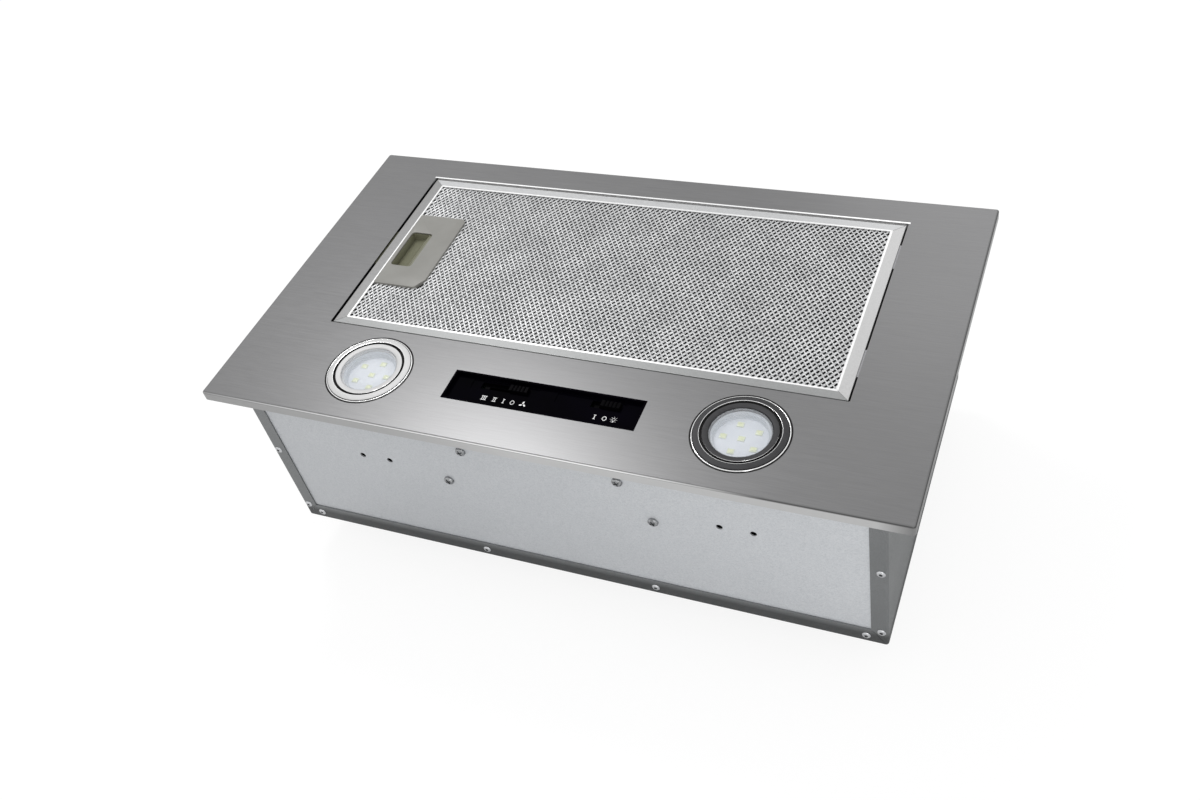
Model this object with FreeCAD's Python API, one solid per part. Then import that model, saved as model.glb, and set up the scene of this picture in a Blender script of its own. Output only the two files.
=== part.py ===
import FreeCAD
import Part
import math
import os

# Built-in range hood insert, lying on its duct side with the face plate up.
# X runs along the width, -Y is the user's edge with the lamps and the levers, +Z points out of the face.
# The origin is the middle of the plane on which the folded rim seats. All sizes are millimetres.

# face plate
plate_width = 525.0
plate_depth = 300.0
plate_sheet = 1.0
plate_corner_radius = 2.0
rim_depth = 8.0
rim_return = 6.0
rim_fold_radius = 1.6
opening_lip_depth = 5.0

# housing: a folded wrapper of both sides and the duct side, and a front and a back wall
housing_width = 485.4
housing_depth = 265.4
housing_reach = 155.5
housing_sheet = 1.0
housing_fold_radius = 2.2
side_strip = 12.0
cover_strip = 16.0
mitre_gap = 0.4
wall_clearance = 0.4
front_lip = 12.0
back_lip = 5.0
side_lip = 12.0

# holes and fasteners of the walls
bracket_hole_radius = 2.4
bracket_hole_inner = 129.8
bracket_hole_pitch = 23.8
bracket_hole_z = -56.5
upper_screw_x = 60.5
upper_screw_z = -28.0
lower_screw_x = 81.0
lower_screw_z = -65.6
screw_head_radius = 3.9
screw_head_height = 2.4
rivet_head_radius = 3.1
rivet_head_height = 1.0
side_rivet_inset = 4.8
side_rivet_upper_z = -71.0
side_rivet_rise = 15.5
cover_rivet_x = (71.0, 227.3)
hole_clearance = 0.15

# filter cassette
opening_width = 402.8
opening_front_margin = 8.1
opening_back_margin = 7.4
filter_x = 1.0
filter_gap = 1.4
filter_drop = 0.8
filter_thickness = 9.0
frame_sheet = 0.8
frame_end_face = 10.0
frame_side_face = 8.4
frame_mitre = 0.4
mesh_sheet = 0.8
mesh_columns = 9
mesh_rows = 4
mesh_strand = 5.0
mesh_border = 2.0
mesh_slack = 0.4
core_ridges = 14
core_wave = 1.1
filter_tab_width = 26.0
filter_tab_reach = 6.0
filter_tab_sheet = 1.2
filter_tab_spread = 55.0
filter_tab_gap = 0.3

# latch of the filter
latch_length = 85.0
latch_width = 42.5
latch_chamfer_x = 5.6
latch_chamfer_y = 10.0
latch_back_chamfer = 3.0
latch_gap = 0.3
latch_wall = 1.6
well_length = 41.0
well_width = 17.0
well_inset = 3.8
latch_cap = 1.0
latch_proud = 0.5
catch_width = 40.0
catch_rail = 3.0
catch_rim = 1.0
catch_sheet = 2.0
catch_gap = 0.8
catch_slack = 0.2
catch_tail = 3.0
catch_reach = 4.6
catch_travel = 6.0
spring_strip = 0.5
spring_height = 3.0
spring_swing = 6.0
spring_bends = 6
spring_seat_gap = 0.3

# lamps
lamp_spread = 141.5
control_line_inset = 31.3
lamp_bezel_radius = 33.0
lamp_ring_radius = 26.6
lamp_lens_radius = 20.9
lamp_neck_radius = 27.4
lamp_neck_depth = 5.0
lamp_body_depth = 19.0
lamp_cup_wall = 1.4
lamp_cup_floor = 12.4
lamp_hole_clearance = 0.7
lamp_bezel_height = 2.0
lamp_lens_sheet = 2.0
lamp_lens_ledge = 0.9
lamp_lens_gap = 0.2
lamp_groove = 3.2
lamp_clip_width = 8.0
lamp_clip_sheet = 0.6
lamp_clip_bow = 5.0
lamp_rib_count = 6
led_count = 5
led_ring_radius = 11.8
led_width = 3.0
led_height = 0.9

# control panel
panel_x = -1.2
panel_width = 147.1
panel_depth = 27.8
panel_gap = 0.15
panel_proud = 0.2
panel_recess = 2.9
panel_floor = 1.5
panel_rim = 1.6
panel_flange = 3.0
lever_line = 6.2
lever_length = 14.0
lever_width = 5.2
lever_gap = 0.4
fan_inset = 53.15
fan_step = 7.4
fan_steps = 3
light_inset = 24.25
light_travel = 7.2
trough_x = 33.0
trough_length = 52.0
trough_width = 8.6
trough_depth = 0.5
lever_sink = 0.6
lever_grooves = 4
lever_groove = 0.7
shoe_sheet = 1.0
shoe_gap = 0.1
stem_width = 3.0
stem_sheet = 2.0
board_sheet = 1.6
board_width = 124.0
board_depth = 20.0
board_shift = 1.5
switch_height = 5.0
switch_gap = 0.6
switch_floor = 1.0
switch_width = 9.0
switch_end = 5.0
switch_slack = 0.3
bracket_sheet = 1.0
bracket_width = 132.0
bracket_drop = 8.0
peg_length = 3.0
peg_width = 4.0

# blower
scroll_y = 27.0
wheel_room = 35.5
wheel_floor_gap = 13.5
blade_band = 10.5
wheel_half_width = 51.0
wheel_ring = 3.0
wheel_disc = 2.0
blade_count = 20
blade_sheet = 1.2
blade_lean = 9.0
blade_belly = 1.8
wheel_blade_inset = 0.8
hub_radius = 9.0
hub_half = 6.0
shaft_radius = 4.0
shaft_fit = 0.03
scroll_wall = 1.6
scroll_half_width = 59.0
scroll_clearance = 6.0
scroll_growth = 9.9
scroll_start_angle = -50.0
scroll_end_angle = 180.0
scroll_arcs = 5
inlet_overlap = 3.5
inlet_lip = 3.0
inlet_flare = 2.4
scroll_flange = 7.5
motor_radius = 32.0
motor_start = 9.0
motor_end = 63.0
motor_boss_radius = 10.0
motor_boss = 2.0
motor_chamfer = 3.0
motor_arms = 3
motor_arm_width = 9.0
motor_foot = 5.0
motor_plate_sheet = 1.5
motor_plate_radius = 22.4
shaft_tail = 3.0
shaft_end_gap = 0.3
shaft_chamfer = 0.6

# duct outlet
duct_radius = 59.5
duct_wall = 1.5
duct_length = 30.0
duct_flange = 10.0
duct_flange_sheet = 2.0
duct_lead = 2.5
duct_screw_count = 4
flap_sheet = 1.2
flap_clearance = 0.6
flap_axis_drop = 9.5
flap_edge = 3.6
flap_pin_radius = 1.5
flap_pin_fit = 0.05
flap_sleeve_radius = 3.0
flap_sleeve_length = 18.0
flap_stop_width = 3.5
flap_stop_height = 1.5
flap_stop_gap = 0.4
flap_rib = 1.5
flap_rib_half = 34.4
flap_rib_y = 31.6

# electrical pieces
driver_length = 72.0
driver_height = 26.0
driver_depth = 22.0
terminal_length = 64.0
terminal_height = 46.0
terminal_depth = 25.0
box_chamfer = 1.5
box_rib_pitch = 6.0
box_rib_depth = 0.8
capacitor_radius = 15.0
capacitor_length = 58.0
capacitor_x = 150.0
capacitor_y = 70.0
capacitor_chamfer = 1.5
capacitor_tab_sheet = 1.0
capacitor_tab_width = 6.0
capacitor_tab_height = 7.0
capacitor_tab_spread = 10.0
gland_x = 180.0
gland_rise = 27.5
gland_radius = 7.5
gland_bore_radius = 4.0
gland_head_radius = 11.0
gland_head_height = 4.0
gland_barb = 1.0
gland_tail = 5.0

# worked out from the sizes above
face_z = rim_depth
under_z = rim_depth - plate_sheet
cover_in_z = housing_sheet - housing_reach
half_w = housing_width / 2
half_d = housing_depth / 2
wall_out_y = half_d - housing_sheet
wall_in_y = wall_out_y - housing_sheet
fold_room = housing_fold_radius - housing_sheet + wall_clearance
wall_half_w = half_w - housing_sheet - fold_room
wall_low_z = cover_in_z + fold_room
side_rivet_z = (side_rivet_upper_z, side_rivet_rise - housing_reach)
control_line_y = control_line_inset - half_d
opening_front = control_line_y + lamp_bezel_radius + opening_front_margin
opening_back = wall_in_y - opening_back_margin
opening_depth = opening_back - opening_front
filter_y = (opening_front + opening_back) / 2
frame_w = opening_width - 2 * filter_gap
frame_d = opening_depth - 2 * filter_gap
frame_left = filter_x - frame_w / 2
frame_right = filter_x + frame_w / 2
frame_front = filter_y - frame_d / 2
frame_back = filter_y + frame_d / 2
frame_top = face_z - filter_drop
frame_low = frame_top - filter_thickness
mesh_top = frame_top - frame_sheet
latch_x0 = frame_left + frame_end_face
latch_x1 = latch_x0 + latch_width
well_x0 = latch_x0 + well_inset
well_x1 = well_x0 + well_width
panel_top = face_z + panel_proud
fan_rest_x = panel_x - panel_width / 2 + fan_inset
light_rest_x = panel_x + panel_width / 2 - light_inset
floor_top = panel_top - panel_recess
floor_low = floor_top - panel_floor
lever_y = control_line_y + lever_line
board_top = floor_low - shoe_gap - shoe_sheet - switch_height - switch_gap
board_y = control_line_y + board_shift
shelf_top = board_top - board_sheet - peg_length
latch_top = frame_top + latch_proud
wheel_radius = (housing_reach - wheel_room) / 2
wheel_bore_radius = wheel_radius - blade_band
inlet_radius = wheel_bore_radius - inlet_overlap
scroll_half = scroll_half_width + scroll_wall
scroll_start_radius = wheel_radius + scroll_clearance
scroll_z = wheel_radius + wheel_floor_gap - housing_reach
catch_top = under_z - catch_gap
catch_low = catch_top - catch_sheet
scroll_span = scroll_end_angle - scroll_start_angle
scroll_end_radius = scroll_start_radius + scroll_growth
tongue_y = scroll_y + scroll_start_radius * math.cos(math.radians(scroll_start_angle))
duct_y = (scroll_y - scroll_end_radius + tongue_y) / 2
duct_low_z = -housing_reach - duct_length
pin_z = -housing_reach - flap_axis_drop
gland_z = gland_rise - housing_reach


def vec(x, y, z):
    return FreeCAD.Vector(x, y, z)


def box(x0, x1, y0, y1, z0, z1):
    return Part.makeBox(x1 - x0, y1 - y0, z1 - z0, vec(x0, y0, z0))


def rod(radius, start, end):
    way = end - start
    return Part.makeCylinder(radius, way.Length, start, way)


def tube(outer, inner, start, end):
    return rod(outer, start, end).cut(rod(inner, start, end))


def prism(points, way):
    return Part.Face(Part.makePolygon(points + points[:1])).extrude(way)


def turned(profile, x, y):
    """A ring or disc turned about an upright axis from (radius, height) pairs."""
    points = [vec(x + r, y, z) for r, z in profile]
    face = Part.Face(Part.makePolygon(points + points[:1]))
    return face.revolve(vec(x, y, 0), vec(0, 0, 1), 360)


def rounded(shape, radius, wanted):
    edges = [e for e in shape.Edges if wanted(e.BoundBox)]
    return shape.makeFillet(radius, edges)


def upright(b):
    return b.ZLength > max(b.XLength, b.YLength)


def group(shapes):
    return Part.makeCompound(shapes)


def mirrored(shape, normal):
    return shape.mirror(vec(0, 0, 0), normal)


def both_sides(shape):
    return [shape, mirrored(shape, vec(1, 0, 0))]


nodes = {}


def folded_tray(width, depth, low, high, radius):
    """A block with its upright edges and its low edges rounded, as a folded sheet's outside."""
    block = box(-width / 2, width / 2, -depth / 2, depth / 2, low, high)
    return rounded(block, radius, lambda b: b.ZMin < high - radius)


def face_plate():
    def layer(inset, low, high, radius):
        w = plate_width / 2 - inset
        d = plate_depth / 2 - inset
        return rounded(box(-w, w, -d, d, low, high), radius, upright)

    plate = layer(0, 0, face_z, plate_corner_radius)
    plate = rounded(plate, rim_fold_radius, lambda b: b.ZMin > face_z - 0.01)
    plate = plate.cut(layer(plate_sheet, plate_sheet, under_z, plate_corner_radius - plate_sheet / 2))
    plate = plate.cut(layer(plate_sheet + rim_return, -1, plate_sheet * 2, plate_corner_radius))
    x0 = filter_x - opening_width / 2
    x1 = filter_x + opening_width / 2
    y0 = opening_front
    y1 = opening_back
    lip_low = under_z - opening_lip_depth
    lip_inset = plate_corner_radius / 2
    for y in (y0 - plate_sheet, y1):
        plate = plate.fuse(box(x0 + lip_inset, x1 - lip_inset, y, y + plate_sheet, lip_low, under_z))
    opening = rounded(box(x0, x1, y0, y1, under_z - 1, face_z + 1), plate_corner_radius / 2, upright)
    plate = plate.cut(opening)
    lamp_hole = lamp_neck_radius + lamp_hole_clearance
    for side in (-1, 1):
        x = side * lamp_spread
        plate = plate.cut(rod(lamp_hole, vec(x, control_line_y, 0), vec(x, control_line_y, face_z + 1)))
    half_panel = panel_width / 2
    plate = plate.cut(box(panel_x - half_panel, panel_x + half_panel,
                          control_line_y - panel_depth / 2, control_line_y + panel_depth / 2,
                          under_z - 1, face_z + 1))
    return plate.removeSplitter()


def rivet_places():
    """Each rivet's (x, z) on the front; the back has the same."""
    side_x = half_w - side_rivet_inset
    places = [(side_x, z) for z in side_rivet_z]
    places += [(x, cover_strip / 2 - housing_reach) for x in cover_rivet_x]
    return [(s * x, z) for x, z in places for s in (-1, 1)]


def wall_holes(radius, places, side):
    y0 = side * (half_d + 1)
    y1 = side * (wall_in_y - 1)
    return group([rod(radius, vec(x, y0, z), vec(x, y1, z)) for x, z in places])


def housing_wrapper():
    outer = folded_tray(housing_width, housing_depth, -housing_reach, under_z, housing_fold_radius)
    inner = folded_tray(housing_width - 2 * housing_sheet, housing_depth - 2 * housing_sheet,
                        cover_in_z, under_z + 1, housing_fold_radius - housing_sheet)
    shell = outer.cut(inner)
    window_x = half_w - side_strip
    window_z = cover_strip - housing_reach
    shell = shell.cut(box(-window_x, window_x, -half_d - 1, half_d + 1, window_z, under_z + 1))
    start = housing_fold_radius + mitre_gap
    slope = cover_strip / side_strip
    slit = [vec(half_w - start - mitre_gap / 2, -half_d - 1, start * slope - housing_reach),
            vec(half_w - start + mitre_gap / 2, -half_d - 1, start * slope - housing_reach),
            vec(window_x + mitre_gap / 2, -half_d - 1, window_z + mitre_gap),
            vec(window_x - mitre_gap / 2, -half_d - 1, window_z + mitre_gap)]
    cutter = prism(slit, vec(0, housing_depth + 2, 0))
    for piece in both_sides(cutter):
        shell = shell.cut(piece)
    duct_hole = duct_radius - duct_wall
    shell = shell.cut(rod(duct_hole, vec(0, duct_y, -housing_reach - 1), vec(0, duct_y, cover_in_z + 1)))
    lip_y0 = front_lip - wall_in_y + fold_room
    lip_y1 = wall_in_y - back_lip - fold_room
    inner_x = half_w - housing_sheet
    lip = box(inner_x - side_lip, inner_x, lip_y0, lip_y1, under_z - housing_sheet, under_z)
    return shell.multiFuse(both_sides(lip)).removeSplitter()


def wall(side):
    """The front (side -1) or the back wall (side 1), with its lip under the face plate."""
    lip_width = front_lip if side < 0 else back_lip
    body = box(-wall_half_w, wall_half_w, -wall_out_y, -wall_in_y, wall_low_z, under_z)
    lip = box(-wall_half_w, wall_half_w, -wall_out_y, -wall_in_y + lip_width, under_z - housing_sheet, under_z)
    body = body.fuse(lip).removeSplitter()
    fold_y = 0.01 - wall_out_y
    body = rounded(body, housing_sheet * 0.8, lambda b: b.ZMin > under_z - 0.01 and b.YMax < fold_y)
    if side > 0:
        body = mirrored(body, vec(0, 1, 0))
    body = body.cut(wall_holes(bracket_hole_radius, bracket_hole_places(), side))
    if side > 0:
        return body.cut(wall_holes(gland_radius + hole_clearance, [(gland_x, gland_z)], side))
    notch = lamp_neck_radius + 2 * lamp_hole_clearance
    for x in (-lamp_spread, lamp_spread):
        body = body.cut(rod(notch, vec(x, control_line_y, 0), vec(x, control_line_y, under_z + 1)))
    return body


def bracket_hole_places():
    outer = bracket_hole_inner + bracket_hole_pitch
    return [(side * x, bracket_hole_z) for side in (-1, 1) for x in (bracket_hole_inner, outer)]


def wall_screw_places():
    places = [(upper_screw_x, upper_screw_z), (lower_screw_x, lower_screw_z)]
    return [(s * x, z) for x, z in places for s in (-1, 1)]


def rivets():
    """The heads of the blind rivets on the folded strips, front and back."""
    head = rod(rivet_head_radius, vec(0, 0, 0), vec(0, 0, rivet_head_height))
    front = head.rotated(vec(0, 0, 0), vec(1, 0, 0), 90)
    back = head.rotated(vec(0, 0, 0), vec(1, 0, 0), -90)
    made = []
    for x, z in rivet_places():
        made.append(front.translated(vec(x, -half_d, z)))
        made.append(back.translated(vec(x, half_d, z)))
    return group(made)


def screw_head():
    """A low round head seated on z = 0, drawn without its cross."""
    return rod(screw_head_radius, vec(0, 0, 0), vec(0, 0, screw_head_height))


def wall_screws():
    """The heads of the screws that hold the pieces behind the front wall."""
    head = screw_head().rotated(vec(0, 0, 0), vec(1, 0, 0), 90)
    return group([head.translated(vec(x, -wall_out_y, z)) for x, z in wall_screw_places()])


def filter_frame():
    """Four mitred channels round the mesh pack, drawn as one ring with its corner joints scored."""
    outer = box(frame_left, frame_right, frame_front, frame_back, frame_low, frame_top)
    outer = rounded(outer, frame_sheet * 0.7, lambda b: b.ZMin > frame_top - 0.01)
    slot = box(frame_left + frame_sheet, frame_right - frame_sheet, frame_front + frame_sheet,
               frame_back - frame_sheet, frame_low + frame_sheet, mesh_top)
    window = box(frame_left + frame_end_face, frame_right - frame_end_face, frame_front + frame_side_face,
                 frame_back - frame_side_face, frame_low - 1, frame_top + 1)
    frame = outer.cut(slot).cut(window)
    depth = frame_sheet / 2
    for x, side_x in ((frame_left, 1), (frame_right, -1)):
        for y, side_y in ((frame_front, 1), (frame_back, -1)):
            corner = vec(x + side_x * frame_sheet, y + side_y * frame_sheet, frame_top - depth)
            inner = vec(x + side_x * (frame_end_face - frame_mitre), y + side_y * (frame_side_face - frame_mitre),
                        frame_top - depth)
            across = vec(side_x * frame_mitre, 0, 0)
            frame = frame.cut(prism([corner, corner + across, inner, inner - across], vec(0, 0, 2 * depth)))
    return frame.cut(catch_gate(catch_low - catch_slack, catch_top + catch_slack))


def mesh_area():
    """The mesh pack's left, right, front and back, inside the channels."""
    inset = frame_sheet + mesh_slack
    return (frame_left + inset, frame_right - inset, frame_front + inset, frame_back - inset)


def latch_outline(grow):
    """The latch plate seen from the face: a rectangle with two corners cut on the mesh side."""
    x0 = latch_x0 - grow
    x1 = latch_x1 + grow
    y0 = filter_y - latch_length / 2 - grow
    y1 = filter_y + latch_length / 2 + grow
    return [(x0, y0), (x1 - latch_chamfer_x, y0), (x1, y0 + latch_chamfer_y),
            (x1, y1 - latch_back_chamfer), (x1 - latch_back_chamfer, y1), (x0, y1)]


def latch_block(grow, low, high):
    return prism([vec(x, y, low) for x, y in latch_outline(grow)], vec(0, 0, high - low))


def filter_mesh():
    """Expanded metal drawn with wide diamonds, in staggered rows, as one holed sheet."""
    x0, x1, y0, y1 = mesh_area()
    low = mesh_top - mesh_sheet
    border = [vec(x0, y0, low), vec(x1, y0, low), vec(x1, y1, low), vec(x0, y1, low)]
    wires = [Part.makePolygon(border + border[:1])]
    reach_x = latch_x1 + mesh_border
    reach_y = latch_length / 2 + mesh_border
    pitch_x = (frame_w - 2 * frame_end_face) / mesh_columns
    pitch_y = (frame_d - 2 * frame_side_face) / mesh_rows
    half_x = (pitch_x - mesh_strand) / 2
    half_y = (pitch_y - mesh_strand) / 2
    for row in range(2 * mesh_rows - 1):
        shift = 0.5 if row % 2 else 0.0
        for column in range(mesh_columns - row % 2):
            x = frame_left + frame_end_face + (column + 0.5 + shift) * pitch_x
            y = frame_front + frame_side_face + (row + 1) / 2 * pitch_y
            near_latch = x - half_x < reach_x and abs(y - filter_y) < reach_y + half_y
            if not near_latch:
                corners = [vec(x - half_x, y, low), vec(x, y + half_y, low),
                           vec(x + half_x, y, low), vec(x, y - half_y, low)]
                wires.append(Part.makePolygon(corners + corners[:1]))
    sheet = Part.Face(wires).extrude(vec(0, 0, mesh_sheet))
    return sheet.cut(latch_block(latch_gap, low - 1, mesh_top + 1).fuse(catch_gate(low - 1, mesh_top + 1)))


def catch_gate(low, high):
    """The way of the catch between the latch and the frame's end."""
    half = catch_width / 2 + catch_slack
    return box(frame_left - 1, latch_x0 + 1, filter_y - half, filter_y + half, low, high)


def filter_core():
    """The pack of finer meshes behind the face mesh, crimped in shallow waves."""
    x0, x1, y0, y1 = mesh_area()
    low = frame_low + frame_sheet
    high = mesh_top - mesh_sheet
    step = (x1 - x0) / core_ridges
    line = []
    for n in range(core_ridges):
        line.append(vec(x0 + n * step, y0, high - core_wave))
        line.append(vec(x0 + (n + 0.5) * step, y0, high))
    line.append(vec(x1, y0, high - core_wave))
    pack = prism(line + [vec(x1, y0, low), vec(x0, y0, low)], vec(0, y1 - y0, 0))
    return pack.cut(latch_block(latch_gap, low - 1, high + 1).fuse(catch_gate(low - 1, high + 1)))


def filter_tabs():
    """Two hooks on the right edge that reach under the plate and carry that end of the cassette."""
    made = []
    high = under_z - filter_tab_gap
    low = high - filter_tab_sheet
    half = filter_tab_width / 2
    for side in (-1, 1):
        y = filter_y + side * filter_tab_spread
        tab = box(frame_right, frame_right + filter_tab_reach, y - half, y + half, low, high)
        leg = box(frame_right, frame_right + filter_tab_sheet, y - half, y + half, frame_low, high)
        made.append(rounded(tab.fuse(leg).removeSplitter(), filter_tab_sheet * 0.8,
                            lambda b: b.XMin > frame_right + filter_tab_reach - 0.01 and upright(b)))
    return group(made)


def latch_housing():
    """A moulded plate over a hollow box, with the finger well let into it and a way for the catch."""
    block = latch_block(0, frame_low, latch_top)
    body = block.cut(latch_block(-latch_wall, frame_low - 1, latch_top - latch_cap))
    y0 = filter_y - well_length / 2
    y1 = filter_y + well_length / 2
    around = box(well_x0 - latch_wall, well_x1 + latch_wall, y0 - latch_wall, y1 + latch_wall,
                 frame_low, latch_top - latch_cap)
    well = box(well_x0, well_x1, y0, y1, frame_low + latch_wall, latch_top + 1)
    body = body.fuse(around).cut(rounded(well, latch_wall, upright))
    half = catch_width / 2 + catch_slack
    way = box(latch_x0 - 1, well_x1 + latch_wall + 1, filter_y - half, filter_y + half,
              catch_low - catch_slack, catch_top + catch_slack)
    return body.cut(way).removeSplitter()


def latch_catch():
    """The sliding catch: a bevelled tongue under the plate's edge, a finger grip and a tail on its spring."""
    tip = frame_left - catch_reach
    tail = catch_tail_x()
    y0 = filter_y - catch_width / 2
    y1 = filter_y + catch_width / 2
    plate = box(tip, tail, y0, y1, catch_low, catch_top)
    nose = [vec(tip - 1, y0, catch_top), vec(tip - 1, y0, catch_low), vec(tip + catch_sheet, y0, catch_top)]
    plate = plate.cut(prism(nose, vec(0, catch_width, 0)))
    grip_x = well_x1 - catch_travel - latch_wall - catch_slack
    grip_y0 = y0 + catch_rail
    grip_y1 = y1 - catch_rail
    grip_low = frame_low + latch_wall + catch_slack
    plate = plate.cut(box(well_x0 + catch_rim, grip_x, grip_y0, grip_y1, catch_low - 1, catch_top + 1))
    grip = box(grip_x, grip_x + latch_wall, grip_y0, grip_y1, grip_low, catch_top)
    foot = box(tail - latch_wall, tail, filter_y - spring_swing / 2, filter_y + spring_swing / 2,
               catch_low - spring_height, catch_top)
    return plate.fuse(grip).fuse(foot).removeSplitter()


def catch_tail_x():
    """Where the catch's tail meets its spring, past the finger well's wall and the catch's travel."""
    return well_x1 + latch_wall + catch_tail


def latch_spring():
    """A strip folded to and fro between the catch's tail and the latch's far wall."""
    x0 = catch_tail_x() + spring_seat_gap
    x1 = latch_x1 - latch_wall - spring_seat_gap
    step = (x1 - x0 - spring_strip) / spring_bends
    half = spring_swing / 2
    high = catch_low
    low = high - spring_height
    legs = [box(x0 + n * step, x0 + n * step + spring_strip, filter_y - half, filter_y + half, low, high)
            for n in range(spring_bends + 1)]
    for n in range(spring_bends):
        y = filter_y + (half - spring_strip if n % 2 else -half)
        x = x0 + n * step
        legs.append(box(x, x + step + spring_strip, y, y + spring_strip, low, high))
    return legs[0].multiFuse(legs[1:]).removeSplitter()


def lamp(x):
    """One spotlight: bezel, lens, ribbed cup, board, chips and its two leaf clips."""
    y = control_line_y
    top = face_z + lamp_bezel_height
    seat = face_z + lamp_bezel_height / 2
    lens_low = seat - lamp_lens_sheet
    ledge = lamp_lens_radius - lamp_lens_ledge
    lens_hole = lamp_lens_radius + lamp_lens_gap
    neck_low = under_z - lamp_neck_depth
    neck_in = lamp_neck_radius - lamp_cup_wall
    bezel = turned([(lamp_bezel_radius, face_z), (lamp_ring_radius, top), (lens_hole, seat),
                    (lens_hole, lens_low), (ledge, lens_low), (neck_in, neck_low),
                    (lamp_neck_radius, neck_low), (lamp_neck_radius, face_z)], x, y)
    lens = rod(lamp_lens_radius, vec(x, y, lens_low), vec(x, y, seat))
    cup_low = under_z - lamp_body_depth
    board_low = cup_low + lamp_cup_floor
    cup = turned([(0, cup_low), (lamp_neck_radius, cup_low), (lamp_neck_radius, neck_low), (neck_in, neck_low),
                  (neck_in, board_low), (0, board_low)], x, y)
    for n in range(lamp_rib_count):
        groove = box(neck_in, lamp_neck_radius + 1, -lamp_groove / 2, lamp_groove / 2, cup_low - 1, board_low - 1)
        groove = groove.rotated(vec(0, 0, 0), vec(0, 0, 1), 360 / lamp_rib_count * (n + 0.5))
        cup = cup.cut(groove.translated(vec(x, y, 0)))
    board = rod(neck_in - lamp_lens_gap, vec(x, y, board_low), vec(x, y, board_low + board_sheet))
    chip_low = board_low + board_sheet
    half = led_width / 2
    turns = [2 * math.pi * n / led_count for n in range(led_count)]
    spots = [(0, 0)] + [(led_ring_radius * math.sin(t), led_ring_radius * math.cos(t)) for t in turns]
    chips = [box(x + dx - half, x + dx + half, y + dy - half, y + dy + half, chip_low, chip_low + led_height)
             for dx, dy in spots]
    return {"bezel": bezel, "lens": lens, "cup": cup, "board": board, "leds": group(chips), "clips": lamp_clips(x)}


def lamp_clips(x):
    """Two bent leaves that press on the back of the plate beside the cup."""
    half = lamp_clip_width / 2
    root = lamp_neck_radius + lamp_lens_gap / 2
    low = under_z - lamp_body_depth / 2
    bow = root + lamp_clip_bow
    high = under_z - hole_clearance
    line = [(root, low), (bow, high - 2 * lamp_clip_sheet), (bow - 2 * lamp_clip_sheet, high)]
    back = [(r - lamp_clip_sheet, z) for r, z in reversed(line[1:])] + [(root, low + 2 * lamp_clip_sheet)]
    clip = prism([vec(r, -half, z) for r, z in line + back], vec(0, lamp_clip_width, 0))
    spot = vec(x, control_line_y, 0)
    return group([clip.rotated(vec(0, 0, 0), vec(0, 0, 1), turn).translated(spot) for turn in (0, 180)])


def lever_windows():
    """Each lever's (middle, length) of its slot in the panel's floor."""
    fan_travel = fan_step * fan_steps
    fan = (fan_rest_x - fan_travel / 2, fan_travel + lever_length + 2 * lever_gap)
    light = (light_rest_x - light_travel / 2, light_travel + lever_length + 2 * lever_gap)
    return (fan, light)


def panel_frame():
    """The glossy moulded tray of the levers, let into the plate and flanged behind it."""
    y = control_line_y

    def layer(inset, low, high):
        w = panel_width / 2 - inset
        d = panel_depth / 2 - inset
        return box(panel_x - w, panel_x + w, y - d, y + d, low, high)

    body = layer(panel_gap, floor_low, panel_top).fuse(layer(-panel_flange, floor_low, under_z))
    body = body.cut(layer(panel_gap + panel_rim, floor_top, panel_top + 1))
    half = trough_width / 2
    for side in (-1, 1):
        x = side * trough_x
        body = body.cut(box(x - trough_length / 2, x + trough_length / 2, lever_y - half, lever_y + half,
                            floor_top - trough_depth, panel_top))
    half = lever_width / 2 + lever_gap
    for middle, length in lever_windows():
        body = body.cut(box(middle - length / 2, middle + length / 2, lever_y - half, lever_y + half,
                            floor_low - 1, panel_top))
    return body.removeSplitter()


def lever(x):
    """A sliding lever: grooved grip in the slot, a shoe under the floor and a stem down to its switch."""
    half = lever_length / 2
    half_width = lever_width / 2
    top = panel_top - lever_sink
    shoe_top = floor_low - shoe_gap
    grip = box(x - half, x + half, lever_y - half_width, lever_y + half_width, shoe_top, top)
    for n in range(lever_grooves):
        groove_x = x + (n - (lever_grooves - 1) / 2) * lever_length / (lever_grooves + 1)
        groove = [vec(groove_x - lever_groove, lever_y - lever_width, top),
                  vec(groove_x, lever_y - lever_width, top - lever_groove),
                  vec(groove_x + lever_groove, lever_y - lever_width, top)]
        grip = grip.cut(prism(groove, vec(0, 2 * lever_width, 0)))
    shoe = box(x - half, x + half, lever_y - lever_width, lever_y + lever_width, shoe_top - shoe_sheet, shoe_top)
    stem_low = board_top + switch_floor + shoe_gap
    stem = box(x - stem_width / 2, x + stem_width / 2, lever_y - stem_sheet / 2, lever_y + stem_sheet / 2,
               stem_low, shoe_top)
    return grip.fuse(shoe).fuse(stem).removeSplitter()


def switch_board():
    half = board_depth / 2
    return box(panel_x - board_width / 2, panel_x + board_width / 2, board_y - half, board_y + half,
               board_top - board_sheet, board_top)


def slide_switches():
    """Under each lever a switch body with an open channel for the lever's stem."""
    made = []
    channel = stem_sheet / 2 + switch_slack
    for middle, length in lever_windows():
        inner = (length - lever_length) / 2 + stem_width / 2 + switch_slack
        outer = inner + switch_end
        body = box(middle - outer, middle + outer, lever_y - switch_width / 2, lever_y + switch_width / 2,
                   board_top, board_top + switch_height)
        made.append(body.cut(box(middle - inner, middle + inner, lever_y - channel, lever_y + channel,
                                 board_top + switch_floor, board_top + switch_height + 1)))
    return group(made)


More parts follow.
